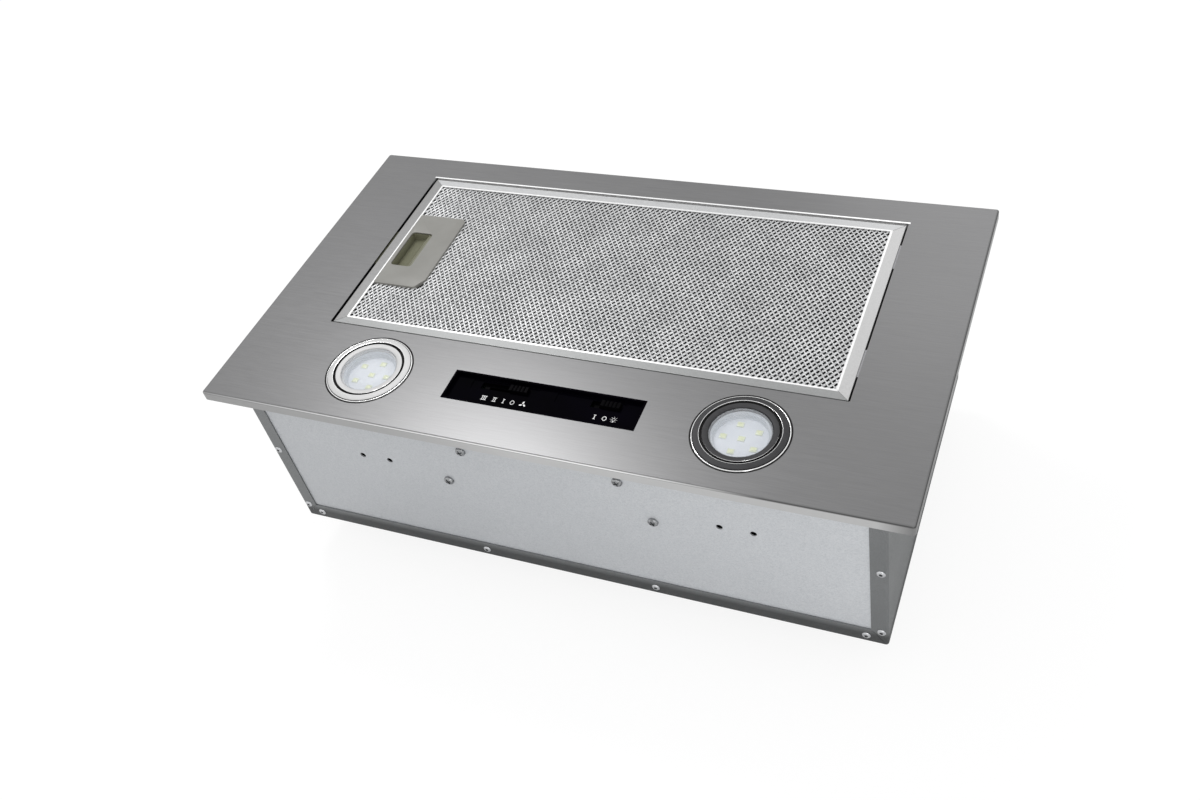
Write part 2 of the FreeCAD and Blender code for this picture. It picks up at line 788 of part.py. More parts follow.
def control_bracket():
    """A folded shelf on the front wall that carries the switch board on four pegs."""
    y0 = -wall_in_y
    y1 = board_y + board_depth / 2 + bracket_sheet
    x0 = panel_x - bracket_width / 2
    x1 = panel_x + bracket_width / 2
    body = box(x0, x1, y0, y1, shelf_top - bracket_sheet, shelf_top)
    body = body.fuse(box(x0, x1, y0, y0 + bracket_sheet, upper_screw_z - bracket_drop, shelf_top)).removeSplitter()
    dx = board_width / 2 - peg_width
    dy = board_depth / 2 - peg_width
    half = peg_width / 2
    for x in (panel_x - dx, panel_x + dx):
        for y in (board_y - dy, board_y + dy):
            body = body.fuse(box(x - half, x + half, y - half, y + half, shelf_top, shelf_top + peg_length))
    return body


def wall_box(side, length, height, depth, ribs):
    """A moulded electrical box on the front wall, with a ribbed lid."""
    y0 = -wall_in_y
    x = side * lower_screw_x
    z = lower_screw_z
    body = box(x - length / 2, x + length / 2, y0, y0 + depth, z - height / 2, z + height / 2)
    body = body.makeChamfer(box_chamfer, [e for e in body.Edges if e.BoundBox.YMin > y0 + depth - 0.01])
    rib_x = length / 2 - 3 * box_chamfer
    for n in range(ribs):
        rib_z = z + (n - (ribs - 1) / 2) * box_rib_pitch
        body = body.cut(box(x - rib_x, x + rib_x, y0 + depth - box_rib_depth, y0 + depth + 1,
                            rib_z - box_rib_pitch / 4, rib_z + box_rib_pitch / 4))
    return body


def capacitor():
    low = cover_in_z
    high = low + capacitor_length
    x = capacitor_x
    y = capacitor_y
    can = rod(capacitor_radius, vec(x, y, low), vec(x, y, high))
    can = can.makeChamfer(capacitor_chamfer, [e for e in can.Edges if e.BoundBox.ZMin > high - 0.01])
    half = capacitor_tab_width / 2
    thick = capacitor_tab_sheet / 2
    spread = capacitor_tab_spread / 2
    tabs = [box(x + dx - thick, x + dx + thick, y - half, y + half, high, high + capacitor_tab_height)
            for dx in (-spread, spread)]
    return can.multiFuse(tabs)


def cable_gland():
    """A snap-in bush in the back wall: head outside, neck through the sheet, barbed collar inside."""
    seat = housing_sheet + shoe_gap
    profile = [(gland_bore_radius, gland_head_height), (gland_head_radius - gland_barb, gland_head_height),
               (gland_head_radius, 0), (gland_radius, 0), (gland_radius, -seat), (gland_radius + gland_barb, -seat),
               (gland_radius - gland_barb, -seat - gland_tail), (gland_bore_radius, -seat - gland_tail)]
    shape = turned(profile, 0, 0).rotated(vec(0, 0, 0), vec(1, 0, 0), -90)
    return shape.translated(vec(gland_x, wall_out_y, gland_z))


def scroll_point(x, angle, extra):
    part = (angle - scroll_start_angle) / scroll_span
    radius = scroll_start_radius + scroll_growth * part + extra
    turn = math.radians(angle)
    return vec(x, scroll_y + radius * math.cos(turn), scroll_z + radius * math.sin(turn))


def scroll_side(x, extra, low):
    """The scroll's outline at x: a spiral from the tongue round to the outlet, closed down to low."""
    edges = []
    step = scroll_span / scroll_arcs
    for n in range(scroll_arcs):
        a = scroll_start_angle + n * step
        start, middle, end = [scroll_point(x, a + share * step, extra) for share in (0, 0.5, 1)]
        edges.append(Part.Arc(start, middle, end).toShape())
    first = scroll_point(x, scroll_start_angle, extra)
    last = scroll_point(x, scroll_end_angle, extra)
    corners = [last, vec(x, last.y, low), vec(x, first.y, low), first]
    for a, b in zip(corners, corners[1:]):
        edges.append(Part.LineSegment(a, b).toShape())
    return Part.Face(Part.Wire(edges))


def scroll_half_shell(side):
    """One moulded half of the blower's scroll, from the middle joint out to its inlet."""
    low = cover_in_z
    outer = scroll_side(0, scroll_wall, low).extrude(vec(scroll_half, 0, 0))
    inner = scroll_side(-1, 0, low - 1).extrude(vec(scroll_half_width + 1, 0, 0))
    shell = outer.cut(inner)
    middle = vec(0, scroll_y, scroll_z)
    ahead = vec(1, 0, 0)
    bell_in = scroll_half_width - inlet_lip
    rim = rod(inlet_radius + inlet_lip, middle + ahead * bell_in, middle + ahead * scroll_half)
    shell = shell.fuse(rim)
    cone = Part.makeCone(inlet_radius, inlet_radius + inlet_flare, scroll_half - bell_in + 0.02,
                         middle + ahead * (bell_in - 0.01), ahead)
    shell = shell.cut(cone)
    flange_y0 = scroll_y - scroll_end_radius - scroll_wall - scroll_flange
    flange_y1 = tongue_y + scroll_wall + scroll_flange
    flange = box(0, scroll_half + scroll_flange, flange_y0, flange_y1, low, low + scroll_wall)
    duct_box = box(-1, scroll_half_width, scroll_y - scroll_end_radius, tongue_y, low - 1, low + 2 * scroll_wall)
    shell = shell.fuse(flange.cut(duct_box))
    shell = shell.removeSplitter()
    return shell if side > 0 else mirrored(shell, vec(1, 0, 0))


def scroll_screw_places():
    x = scroll_half_width + scroll_wall + scroll_flange / 2
    y0 = scroll_y - scroll_end_radius - scroll_wall - scroll_flange / 2
    y1 = tongue_y + scroll_wall + scroll_flange / 2
    return [(s * x, y) for s in (-1, 1) for y in (y0, y1)]


def scroll_screws():
    """The heads, on the duct side, of the screws that hold the scroll's flange."""
    head = screw_head().rotated(vec(0, 0, 0), vec(1, 0, 0), 180)
    return group([head.translated(vec(x, y, -housing_reach)) for x, y in scroll_screw_places()])


def motor_arm_place(n):
    """The middle of arm n's foot on the scroll's right side."""
    radius = inlet_radius + inlet_lip + motor_foot
    turn = math.radians(90 + 360 / motor_arms * n)
    return vec(scroll_half, scroll_y + radius * math.cos(turn), scroll_z + radius * math.sin(turn))


def fan_wheel():
    """A double-inlet squirrel-cage wheel: curved blades between two end rings, on a middle disc and its hub."""
    middle = vec(0, scroll_y, scroll_z)
    ahead = vec(1, 0, 0)
    half = wheel_half_width
    inner = wheel_bore_radius + wheel_blade_inset
    outer = wheel_radius - wheel_blade_inset
    wheel = rod(inner + blade_sheet / 2, middle - ahead * (wheel_disc / 2), middle + ahead * (wheel_disc / 2))
    wheel = wheel.fuse(rod(hub_radius, middle - ahead * hub_half, middle + ahead * hub_half))
    rings = [tube(wheel_radius, wheel_bore_radius, middle + ahead * (side * half),
                  middle + ahead * (side * (half - wheel_ring))) for side in (-1, 1)]
    belly = (inner + outer) / 2
    thick = math.degrees(blade_sheet / belly)
    blades = []
    for n in range(blade_count):

        def at(radius, angle):
            turn = math.radians(360 / blade_count * n + angle)
            return vec(wheel_ring / 2 - half, scroll_y + radius * math.cos(turn), scroll_z + radius * math.sin(turn))

        front = Part.Arc(at(inner, 0), at(belly, blade_belly), at(outer, blade_lean)).toShape()
        tip = Part.LineSegment(at(outer, blade_lean), at(outer, blade_lean - thick)).toShape()
        rear = Part.Arc(at(outer, blade_lean - thick), at(belly, blade_belly - thick), at(inner, -thick))
        rear = rear.toShape()
        root = Part.LineSegment(at(inner, -thick), at(inner, 0)).toShape()
        face = Part.Face(Part.Wire([front, tip, rear, root]))
        blades.append(face.extrude(vec(2 * half - wheel_ring, 0, 0)))
    wheel = wheel.multiFuse(rings + blades)
    return wheel.cut(rod(shaft_radius + shaft_fit, middle - ahead * (hub_half + 1), middle + ahead * (hub_half + 1)))


def motor_body():
    """The closed motor, partly inside the right half of the wheel, with its end boss."""
    middle = vec(0, scroll_y, scroll_z)
    ahead = vec(1, 0, 0)
    can = rod(motor_radius, middle + ahead * motor_start, middle + ahead * motor_end)
    can = can.makeChamfer(motor_chamfer, [e for e in can.Edges if e.BoundBox.XLength < 0.01])
    body = can.fuse(rod(motor_boss_radius, middle + ahead * (motor_start - motor_boss), middle + ahead * motor_start))
    bore = rod(shaft_radius + shaft_fit, middle, middle + ahead * (motor_end - shaft_tail))
    return body.cut(bore)


def motor_shaft():
    middle = vec(0, scroll_y, scroll_z)
    ahead = vec(1, 0, 0)
    start = middle - ahead * (hub_half + shaft_tail)
    shaft = rod(shaft_radius, start, middle + ahead * (motor_end - shaft_tail - shaft_end_gap))
    return shaft.makeChamfer(shaft_chamfer, [e for e in shaft.Edges if e.BoundBox.XMax < start.x + 0.01])


def motor_bracket():
    """A pressed spider on the motor's rear face, with three arms out to the scroll's side."""
    x0 = motor_end
    x1 = x0 + motor_plate_sheet
    middle = vec(x0, scroll_y, scroll_z)
    reach = inlet_radius + inlet_lip + motor_foot
    half = motor_arm_width / 2
    arms = []
    for n in range(motor_arms):
        arm = box(x0, x1, 0, reach + half, -half, half)
        foot = box(scroll_half, x1, reach - half, reach + half, -half, half)
        turn = 90 + 360 / motor_arms * n
        arms.append(arm.fuse(foot).rotated(vec(0, 0, 0), vec(1, 0, 0), turn).translated(vec(0, scroll_y, scroll_z)))
    plate = rod(motor_plate_radius, middle, middle + vec(motor_plate_sheet, 0, 0))
    return plate.multiFuse(arms).removeSplitter()


def motor_screws():
    """The heads of the screws in the spider's feet."""
    head = screw_head().rotated(vec(0, 0, 0), vec(0, 1, 0), 90)
    lift = vec(motor_end + motor_plate_sheet - scroll_half, 0, 0)
    return group([head.translated(motor_arm_place(n) + lift) for n in range(motor_arms)])


def duct_screw_places():
    radius = duct_radius + duct_flange / 2
    made = []
    for n in range(duct_screw_count):
        turn = 2 * math.pi * (n + 0.5) / duct_screw_count
        made.append((radius * math.cos(turn), duct_y + radius * math.sin(turn)))
    return made


def duct_collar():
    """The round spigot with its flange, the flaps' stop ledge and the holes of their pin."""
    top = -housing_reach
    inner = duct_radius - duct_wall
    stop_low = pin_z + flap_sheet / 2 + flap_stop_gap
    stop_high = stop_low + flap_stop_height
    ledge = inner - flap_stop_width
    rim = duct_radius + duct_flange
    profile = [(rim, top), (inner, top), (inner, stop_high), (ledge, stop_high), (ledge, stop_low), (inner, stop_low),
               (inner, duct_low_z), (duct_radius - duct_wall / 2, duct_low_z), (duct_radius, duct_low_z + duct_lead),
               (duct_radius, top - duct_flange_sheet), (rim, top - duct_flange_sheet)]
    collar = turned(profile, 0, duct_y)
    out = vec(duct_radius + 1, 0, 0)
    spot = vec(0, duct_y, pin_z)
    collar = collar.cut(rod(flap_pin_radius + flap_pin_fit, spot - out, spot + out))
    relief = flap_sleeve_radius + flap_stop_gap
    return collar.cut(box(-inner, inner, duct_y - relief, duct_y + relief, stop_low - 0.01, stop_high + 0.01))


def duct_screws():
    """The heads of the screws in the collar's flange."""
    head = screw_head().rotated(vec(0, 0, 0), vec(1, 0, 0), 180)
    low = -housing_reach - duct_flange_sheet
    return group([head.translated(vec(x, y, low)) for x, y in duct_screw_places()])


def duct_flap(side):
    """A half-round flap with two sleeves on the pin; side -1 is the front one."""
    radius = duct_radius - duct_wall - flap_clearance
    low = pin_z - flap_sheet / 2
    high = pin_z + flap_sheet / 2
    flap = rod(radius, vec(0, 0, low), vec(0, 0, high)).common(box(-radius, radius, -radius, -flap_edge, low, high))
    half = flap_sleeve_length / 2
    step = half + flap_clearance
    bores = []
    for x in (-3 * step, step):
        start = vec(x - half, 0, pin_z)
        end = vec(x + half, 0, pin_z)
        web = box(start.x, end.x, -flap_edge - 1, -flap_pin_radius - flap_sheet, low, high)
        flap = flap.fuse(web).fuse(rod(flap_sleeve_radius, start, end))
        bores.append(rod(flap_pin_radius + flap_pin_fit, start - vec(1, 0, 0), end + vec(1, 0, 0)))
    rib = box(-flap_rib_half, flap_rib_half, -flap_rib_y, flap_rib - flap_rib_y, low - flap_rib, low)
    flap = flap.fuse(rib).cut(bores).removeSplitter()
    if side > 0:
        flap = flap.rotated(vec(0, 0, pin_z), vec(0, 0, 1), 180)
    return flap.translated(vec(0, duct_y, 0))


def flap_pin():
    half = duct_radius - flap_pin_fit
    return rod(flap_pin_radius, vec(-half, duct_y, pin_z), vec(half, duct_y, pin_z))


nodes["face_plate"] = face_plate()
nodes["housing_wrapper"] = housing_wrapper()
nodes["front_wall"] = wall(-1)
nodes["back_wall"] = wall(1)
nodes["rivets"] = rivets()
nodes["wall_screws"] = wall_screws()
nodes["filter_frame"] = filter_frame()
nodes["filter_mesh"] = filter_mesh()
nodes["filter_core"] = filter_core()
nodes["filter_tabs"] = filter_tabs()
nodes["latch_housing"] = latch_housing()
nodes["latch_catch"] = latch_catch()
nodes["latch_spring"] = latch_spring()
for name, side in (("left", -1), ("right", 1)):
    for piece, shape in lamp(side * lamp_spread).items():
        nodes[f"lamp_{piece}_{name}"] = shape
nodes["panel_frame"] = panel_frame()
nodes["fan_lever"] = lever(fan_rest_x)
nodes["light_lever"] = lever(light_rest_x)
nodes["switch_board"] = switch_board()
nodes["slide_switches"] = slide_switches()
nodes["control_bracket"] = control_bracket()
nodes["lamp_driver"] = wall_box(-1, driver_length, driver_height, driver_depth, 3)
nodes["terminal_box"] = wall_box(1, terminal_length, terminal_height, terminal_depth, 5)
nodes["capacitor"] = capacitor()
nodes["cable_gland"] = cable_gland()
nodes["scroll_left"] = scroll_half_shell(-1)
nodes["scroll_right"] = scroll_half_shell(1)
nodes["scroll_screws"] = scroll_screws()
nodes["fan_wheel"] = fan_wheel()
nodes["motor_body"] = motor_body()
nodes["motor_shaft"] = motor_shaft()
nodes["motor_bracket"] = motor_bracket()
nodes["motor_screws"] = motor_screws()
nodes["duct_collar"] = duct_collar()
nodes["duct_screws"] = duct_screws()
nodes["duct_flap_front"] = duct_flap(-1)
nodes["duct_flap_back"] = duct_flap(1)
nodes["flap_pin"] = flap_pin()

os.makedirs("parts", exist_ok=True)
for name, shape in nodes.items():
    shape.exportStep(f"parts/{name}.step")
    print(f"{name}: {len(shape.Solids)} solids, {shape.Volume:.0f} mm3, valid {shape.isValid()}")
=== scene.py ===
import bpy
import bmesh
import math
from mathutils import Matrix, Vector


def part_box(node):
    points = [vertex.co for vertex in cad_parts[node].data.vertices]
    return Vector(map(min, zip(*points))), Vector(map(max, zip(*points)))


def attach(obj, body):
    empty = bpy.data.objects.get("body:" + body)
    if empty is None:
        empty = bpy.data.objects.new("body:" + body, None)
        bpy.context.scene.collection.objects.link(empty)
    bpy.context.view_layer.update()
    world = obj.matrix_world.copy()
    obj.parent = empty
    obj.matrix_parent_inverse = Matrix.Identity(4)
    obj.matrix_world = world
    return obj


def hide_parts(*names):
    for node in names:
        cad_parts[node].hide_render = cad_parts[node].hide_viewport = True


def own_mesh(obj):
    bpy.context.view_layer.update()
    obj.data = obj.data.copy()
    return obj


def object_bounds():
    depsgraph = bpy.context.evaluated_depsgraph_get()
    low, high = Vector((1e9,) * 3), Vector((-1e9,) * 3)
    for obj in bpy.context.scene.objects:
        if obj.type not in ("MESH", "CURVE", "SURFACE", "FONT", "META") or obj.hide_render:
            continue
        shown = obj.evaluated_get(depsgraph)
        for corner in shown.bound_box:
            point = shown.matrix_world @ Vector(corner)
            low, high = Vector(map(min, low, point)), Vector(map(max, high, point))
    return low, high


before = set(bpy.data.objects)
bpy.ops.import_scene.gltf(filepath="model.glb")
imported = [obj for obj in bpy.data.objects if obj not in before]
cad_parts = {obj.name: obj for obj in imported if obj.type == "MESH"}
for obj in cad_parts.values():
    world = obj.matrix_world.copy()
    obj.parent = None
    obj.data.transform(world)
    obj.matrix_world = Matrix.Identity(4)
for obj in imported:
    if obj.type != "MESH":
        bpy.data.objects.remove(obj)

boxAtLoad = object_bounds()
mm = 0.001
near = 0.1 * mm  # what counts as the same place when faces are picked
weld = 0.01 * mm  # vertices closer than this become one


# selecting and shaping, shared by all the pieces

def startPiece():  # nothing of the frame stays selected when a primitive comes in
    if bpy.context.mode != "OBJECT":
        bpy.ops.object.mode_set(mode="OBJECT")
    bpy.ops.object.select_all(action="DESELECT")


def selectOnly(obj):
    startPiece()
    obj.select_set(True)
    bpy.context.view_layer.objects.active = obj


def rename(obj, name):
    obj.name = name
    obj.data.name = name
    return obj


def newest(name):  # names the primitive that was just added
    return rename(bpy.context.object, name)


def pick(kind, wanted):  # in edit mode: selects the vertices, edges or faces whose middle (and normal) are wanted
    mesh = bmesh.from_edit_mesh(bpy.context.object.data)
    bpy.ops.mesh.select_mode(type=kind)
    bpy.ops.mesh.select_all(action="DESELECT")
    if kind == "VERT":
        for v in mesh.verts:
            v.select_set(wanted(v.co, v.normal))
    elif kind == "EDGE":
        for e in mesh.edges:
            e.select_set(wanted((e.verts[0].co + e.verts[1].co) / 2, e.verts[1].co - e.verts[0].co))
    else:
        for f in mesh.faces:
            f.select_set(wanted(f.calc_center_median(), f.normal))
    mesh.select_flush_mode()
    bmesh.update_edit_mesh(bpy.context.object.data)


def editOn(obj):
    selectOnly(obj)
    bpy.ops.object.mode_set(mode="EDIT")


def editOff():
    bpy.ops.object.mode_set(mode="OBJECT")


def selectAll():  # this and the next two are for edit mode
    bpy.ops.mesh.select_all(action="SELECT")


def drawOut(x, y, z):  # extrudes what is selected
    bpy.ops.mesh.extrude_region_move(TRANSFORM_OT_translate={"value": (x, y, z)})


def cutAlong(place, normal, **settings):  # a cut through the whole piece, on a plane
    selectAll()
    bpy.ops.mesh.bisect(plane_co=place, plane_no=normal, **settings)


def paint(obj, material, wanted):  # gives the wanted faces a further material
    obj.data.materials.append(made[material])
    editOn(obj)
    pick("FACE", wanted)
    obj.active_material_index = len(obj.data.materials) - 1
    bpy.ops.object.material_slot_assign()
    editOff()


def settle(obj):  # the finished piece keeps its place in its mesh
    selectOnly(obj)
    bpy.ops.object.transform_apply(location=True, rotation=True, scale=True)
    return obj


def addBlock(name, low, high):
    startPiece()
    middle = (Vector(low) + Vector(high)) / 2
    bpy.ops.mesh.primitive_cube_add(size=1, location=middle)
    obj = newest(name)
    obj.scale = Vector(high) - Vector(low)
    return settle(obj)


def applyModifier(obj, kind, **settings):
    selectOnly(obj)
    modifier = obj.modifiers.new(kind.title(), kind)
    for key, value in settings.items():
        setattr(modifier, key, value)
    bpy.ops.object.modifier_apply(modifier=modifier.name)


def softenEdges(obj, width, segments=2, angle=40):
    applyModifier(obj, "BEVEL", width=width, segments=segments, limit_method="ANGLE",
                  angle_limit=math.radians(angle), harden_normals=False)


def cutAway(obj, cutter):
    outward(obj)
    applyModifier(obj, "BOOLEAN", object=cutter, operation="DIFFERENCE", solver="MANIFOLD")
    bpy.data.objects.remove(cutter, do_unlink=True)


def joinTo(obj, others):
    selectOnly(obj)
    for other in others:
        other.select_set(True)
    bpy.ops.object.join()
    return obj


def smooth(obj, angle=35):
    selectOnly(obj)
    bpy.ops.object.shade_smooth_by_angle(angle=math.radians(angle))


def outward(obj):
    editOn(obj)
    selectAll()
    bpy.ops.mesh.remove_doubles(threshold=weld)
    bpy.ops.mesh.normals_make_consistent(inside=False)
    editOff()


def lathe(name, profile, place, segments=96):  # circles drawn out and resized along (radius, height) pairs
    startPiece()
    x, y = place
    radius, height = profile[0]
    bpy.ops.mesh.primitive_circle_add(vertices=segments, radius=radius, location=(x, y, height))
    obj = newest(name)
    settle(obj)
    editOn(obj)
    bpy.ops.mesh.select_mode(type="EDGE")
    selectAll()
    for nextRadius, nextHeight in profile[1:]:
        scale = nextRadius / radius
        drawOut(0, 0, nextHeight - height)
        if scale != 1:
            bpy.ops.transform.resize(value=(scale, scale, 1), center_override=(x, y, nextHeight))
        radius, height = nextRadius, nextHeight
    editOff()
    return obj


def closeTurn(obj):  # joins the last circle of a ring to its first, or caps what is open
    editOn(obj)
    selectAll()
    bpy.ops.mesh.remove_doubles(threshold=weld)
    bpy.ops.mesh.select_all(action="DESELECT")
    bpy.ops.mesh.select_mode(type="EDGE")
    bpy.ops.mesh.select_non_manifold()
    if bpy.context.object.data.total_edge_sel:
        bpy.ops.mesh.fill_holes(sides=0)
    selectAll()
    bpy.ops.mesh.normals_make_consistent(inside=False)
    editOff()


def copyTo(obj, name, matrix):  # a copy with its own mesh
    copy = obj.copy()
    copy.data = obj.data.copy()
    bpy.context.scene.collection.objects.link(copy)
    copy.data.transform(matrix)
    return rename(copy, name)


def repeat(master, name, places):  # the master, copied to each place and joined to one piece
    copies = [copyTo(master, name, place) for place in places]
    bpy.data.objects.remove(master, do_unlink=True)
    return rename(joinTo(copies[0], copies[1:]), name)


# materials

def addNode(tree, kind, inputs=None, **settings):
    node = tree.nodes.new(kind)
    for key, value in settings.items():
        setattr(node, key, value)
    for key, value in (inputs or {}).items():
        if isinstance(value, bpy.types.NodeSocket):
            tree.links.new(value, node.inputs[key])
        else:
            node.inputs[key].default_value = value
    return node


def startMaterial(name):
    material = bpy.data.materials.new(name)
    material.use_nodes = True
    tree = material.node_tree
    shader = tree.nodes["Principled BSDF"]
    place = addNode(tree, "ShaderNodeTexCoord").outputs["Object"]
    return material, tree, shader, place


def noiseOn(tree, place, scale, detail=3.0, rough=0.6):  # scale is (x, y, z), in repeats per metre
    mapping = addNode(tree, "ShaderNodeMapping", {"Vector": place, "Scale": scale})
    return addNode(tree, "ShaderNodeTexNoise", {"Vector": mapping.outputs["Vector"], "Scale": 1.0,
                                               "Detail": detail, "Roughness": rough}).outputs["Fac"]


def rangeOf(tree, value, low, high, fromLow=0.3, fromHigh=0.7):
    return addNode(tree, "ShaderNodeMapRange", {"Value": value, "From Min": fromLow, "From Max": fromHigh,
                                               "To Min": low, "To Max": high}).outputs["Result"]


def shades(tree, value, dark, light, low=0.3, high=0.7):
    ramp = addNode(tree, "ShaderNodeValToRGB", {"Fac": value})
    ramp.color_ramp.elements[0].position = low
    ramp.color_ramp.elements[0].color = (*dark, 1)
    ramp.color_ramp.elements[1].position = high
    ramp.color_ramp.elements[1].color = (*light, 1)
    return ramp.outputs["Color"]


def stops(tree, value, low, high, marks):  # a ramp of (place, grey) marks between two values
    ramp = addNode(tree, "ShaderNodeValToRGB", {"Fac": rangeOf(tree, value, 0.0, 1.0, low, high)})
    elements = ramp.color_ramp.elements
    while len(elements) < len(marks):
        elements.new(0.5)
    for element, (place, grey) in zip(elements, marks):
        element.position = (place - low) / (high - low)
        element.color = (grey, grey, grey, 1)
    return ramp.outputs["Color"]


def blend(tree, amount, first, second, way="MIX"):
    node = addNode(tree, "ShaderNodeMix", {"Factor": amount}, data_type="RGBA", blend_type=way)
    for socket, value in ((node.inputs[6], first), (node.inputs[7], second)):
        if isinstance(value, bpy.types.NodeSocket):
            tree.links.new(value, socket)
        else:
            socket.default_value = (*value, 1)
    return node.outputs[2]


def mathOn(tree, operation, *values):
    return addNode(tree, "ShaderNodeMath", dict(enumerate(values)), operation=operation).outputs[0]


def axesOf(tree, vector):
    return addNode(tree, "ShaderNodeSeparateXYZ", {"Vector": vector}).outputs


def multiplied(tree, color, value):  # the colour times a number
    grey = addNode(tree, "ShaderNodeCombineColor", {n: value for n in range(3)})
    return blend(tree, 1.0, color, grey.outputs[0], "MULTIPLY")


def surface(tree, shader, look, color, grain, height, depth=0.05 * mm, span=(0.3, 0.7)):  # what all finishes share
    tree.links.new(color, shader.inputs["Base Color"])
    tree.links.new(rangeOf(tree, grain, *look["rough"], *span), shader.inputs["Roughness"])
    shader.inputs["Metallic"].default_value = look.get("metal", 0.0)
    bump = addNode(tree, "ShaderNodeBump", {"Height": height, "Strength": look["relief"], "Distance": depth})
    tree.links.new(bump.outputs["Normal"], shader.inputs["Normal"])


def brushedMetal(name, look):  # fine lines along one axis over slow cloudy changes
    material, tree, shader, place = startMaterial(name)
    lines = noiseOn(tree, place, look["grain"], 4.0, 0.7)
    cloud = noiseOn(tree, place, look["cloud"], 2.0, 0.5)
    base = shades(tree, lines, look["dark"], look["light"])
    stainAndPaintedLight = blend(tree, rangeOf(tree, cloud, 0.0, look["stain"]), base, look["dark"])
    # painted light and shade on the plate's rim and on the edges of the filter opening
    if "rim" in look:
        stainAndPaintedLight = paintedRimLight(tree, shader, place, look, stainAndPaintedLight)
    surface(tree, shader, look, stainAndPaintedLight, lines, lines)
    return material


def paintedRimLight(tree, shader, place, look, stainAndPaintedLight):  # painted light: a paler rim below the fold that changes along X, a painted highlight along the bend, and a painted highlight line on the opening's far edge
    axes = axesOf(tree, place)
    low, high = look["rimFade"]
    inside = mathOn(tree, "MULTIPLY", *[mathOn(tree, "COMPARE", axes[axis], middle, half)
                                        for axis, (middle, half) in zip("XY", look["opening"])])
    rim = stops(tree, axes["X"], *look["reach"], look["rim"])
    rim = blend(tree, inside, rim, look["lip"])  # painted shade: the opening's own lips are near black, save for a painted highlight on the far one's bend
    stainAndPaintedLight = blend(tree, rangeOf(tree, axes["Z"], 1.0, 0.0, low, high), stainAndPaintedLight, rim)
    farLipShadeAndHighlight = stops(tree, axes["Y"], *look["farReach"], look["farLipShadeAndHighlight"])
    bendHighlight = blend(tree, inside, stops(tree, axes["X"], *look["reach"], look["bendHighlight"]), farLipShadeAndHighlight)
    stainAndPaintedLight = blend(tree, stops(tree, axes["Z"], *look["bendReach"], look["bendHighlightBand"]), stainAndPaintedLight, bendHighlight)
    farHighlightLine = mathOn(tree, "COMPARE", axes["Y"], *look["farHighlightLine"])
    tree.links.new(rangeOf(tree, axes["Z"], look["rimMetal"], look["metal"], low, high), shader.inputs["Metallic"])
    # painted highlight: a pale line along the top of the opening's far edge
    return blend(tree, mathOn(tree, "MULTIPLY", farHighlightLine, inside), stainAndPaintedLight, look["paintedHighlight"])


def mitredFrame(name, look):  # four brushed members that meet on the corners' mitres, each with a painted reflection tone of its own, and a painted highlight along the inner lip
    material, tree, shader, place = startMaterial(name)
    grain = noiseOn(tree, place, look["grain"], 4.0, 0.7)
    axes = axesOf(tree, place)
    paintedLightTones = []
    depths = []
    for axis, first, second in ((0, "left", "right"), (1, "front", "back")):
        middle, half = look["middle"][axis], look["half"][axis]
        tone = rangeOf(tree, axes[axis], 0.0, 1.0, middle - half, middle + half)
        paintedLightTones.append(blend(tree, tone, look[first], look[second]))
        away = mathOn(tree, "ABSOLUTE", mathOn(tree, "SUBTRACT", axes[axis], middle))
        depths.append(mathOn(tree, "SUBTRACT", half, away))
    across = mathOn(tree, "MULTIPLY", depths[1], look["cornerSlope"])
    base = blend(tree, mathOn(tree, "LESS_THAN", depths[0], across), paintedLightTones[1], paintedLightTones[0])
    lips = [mathOn(tree, "GREATER_THAN", depth, start) for depth, start in zip(depths, look["lipStart"])]
    # painted highlight: a pale line along the frame's inner lip
    base = blend(tree, mathOn(tree, "MULTIPLY", *lips), base, look["lip"])
    surface(tree, shader, look, multiplied(tree, base, rangeOf(tree, grain, *look["shade"])), grain, grain)
    return material


def packMetal(name, look):  # painted shade: near black on the side behind the face mesh, so its holes read dark; pale diamonds on the side that faces the blower
    material, tree, shader, place = startMaterial(name)
    grain = noiseOn(tree, place, look["grain"], 4.0, 0.7)
    axes = axesOf(tree, place)
    edge = look["strandEdge"]
    strands = []
    for way in (1, -1):
        along = mathOn(tree, "MULTIPLY", axes["Y"], way / look["pitch"][1])
        across = mathOn(tree, "MULTIPLY_ADD", axes["X"], 1 / look["pitch"][0], along)
        wave = mathOn(tree, "PINGPONG", across, 0.5)
        strands.append(rangeOf(tree, wave, 1.0, 0.0, look["strandShare"] - edge, look["strandShare"] + edge))
    strand = mathOn(tree, "MAXIMUM", *strands)
    behind = blend(tree, strand, look["hole"], look["strand"])
    upward = axesOf(tree, addNode(tree, "ShaderNodeTexCoord").outputs["Normal"])["Z"]
    front = rangeOf(tree, upward, 0.0, 1.0, -0.5, -0.3)
    # painted shade: the side that faces the face mesh is near black
    color = blend(tree, front, behind, shades(tree, grain, look["dark"], look["light"]))
    surface(tree, shader, look, color, grain, strand, 0.4 * mm)
    return material


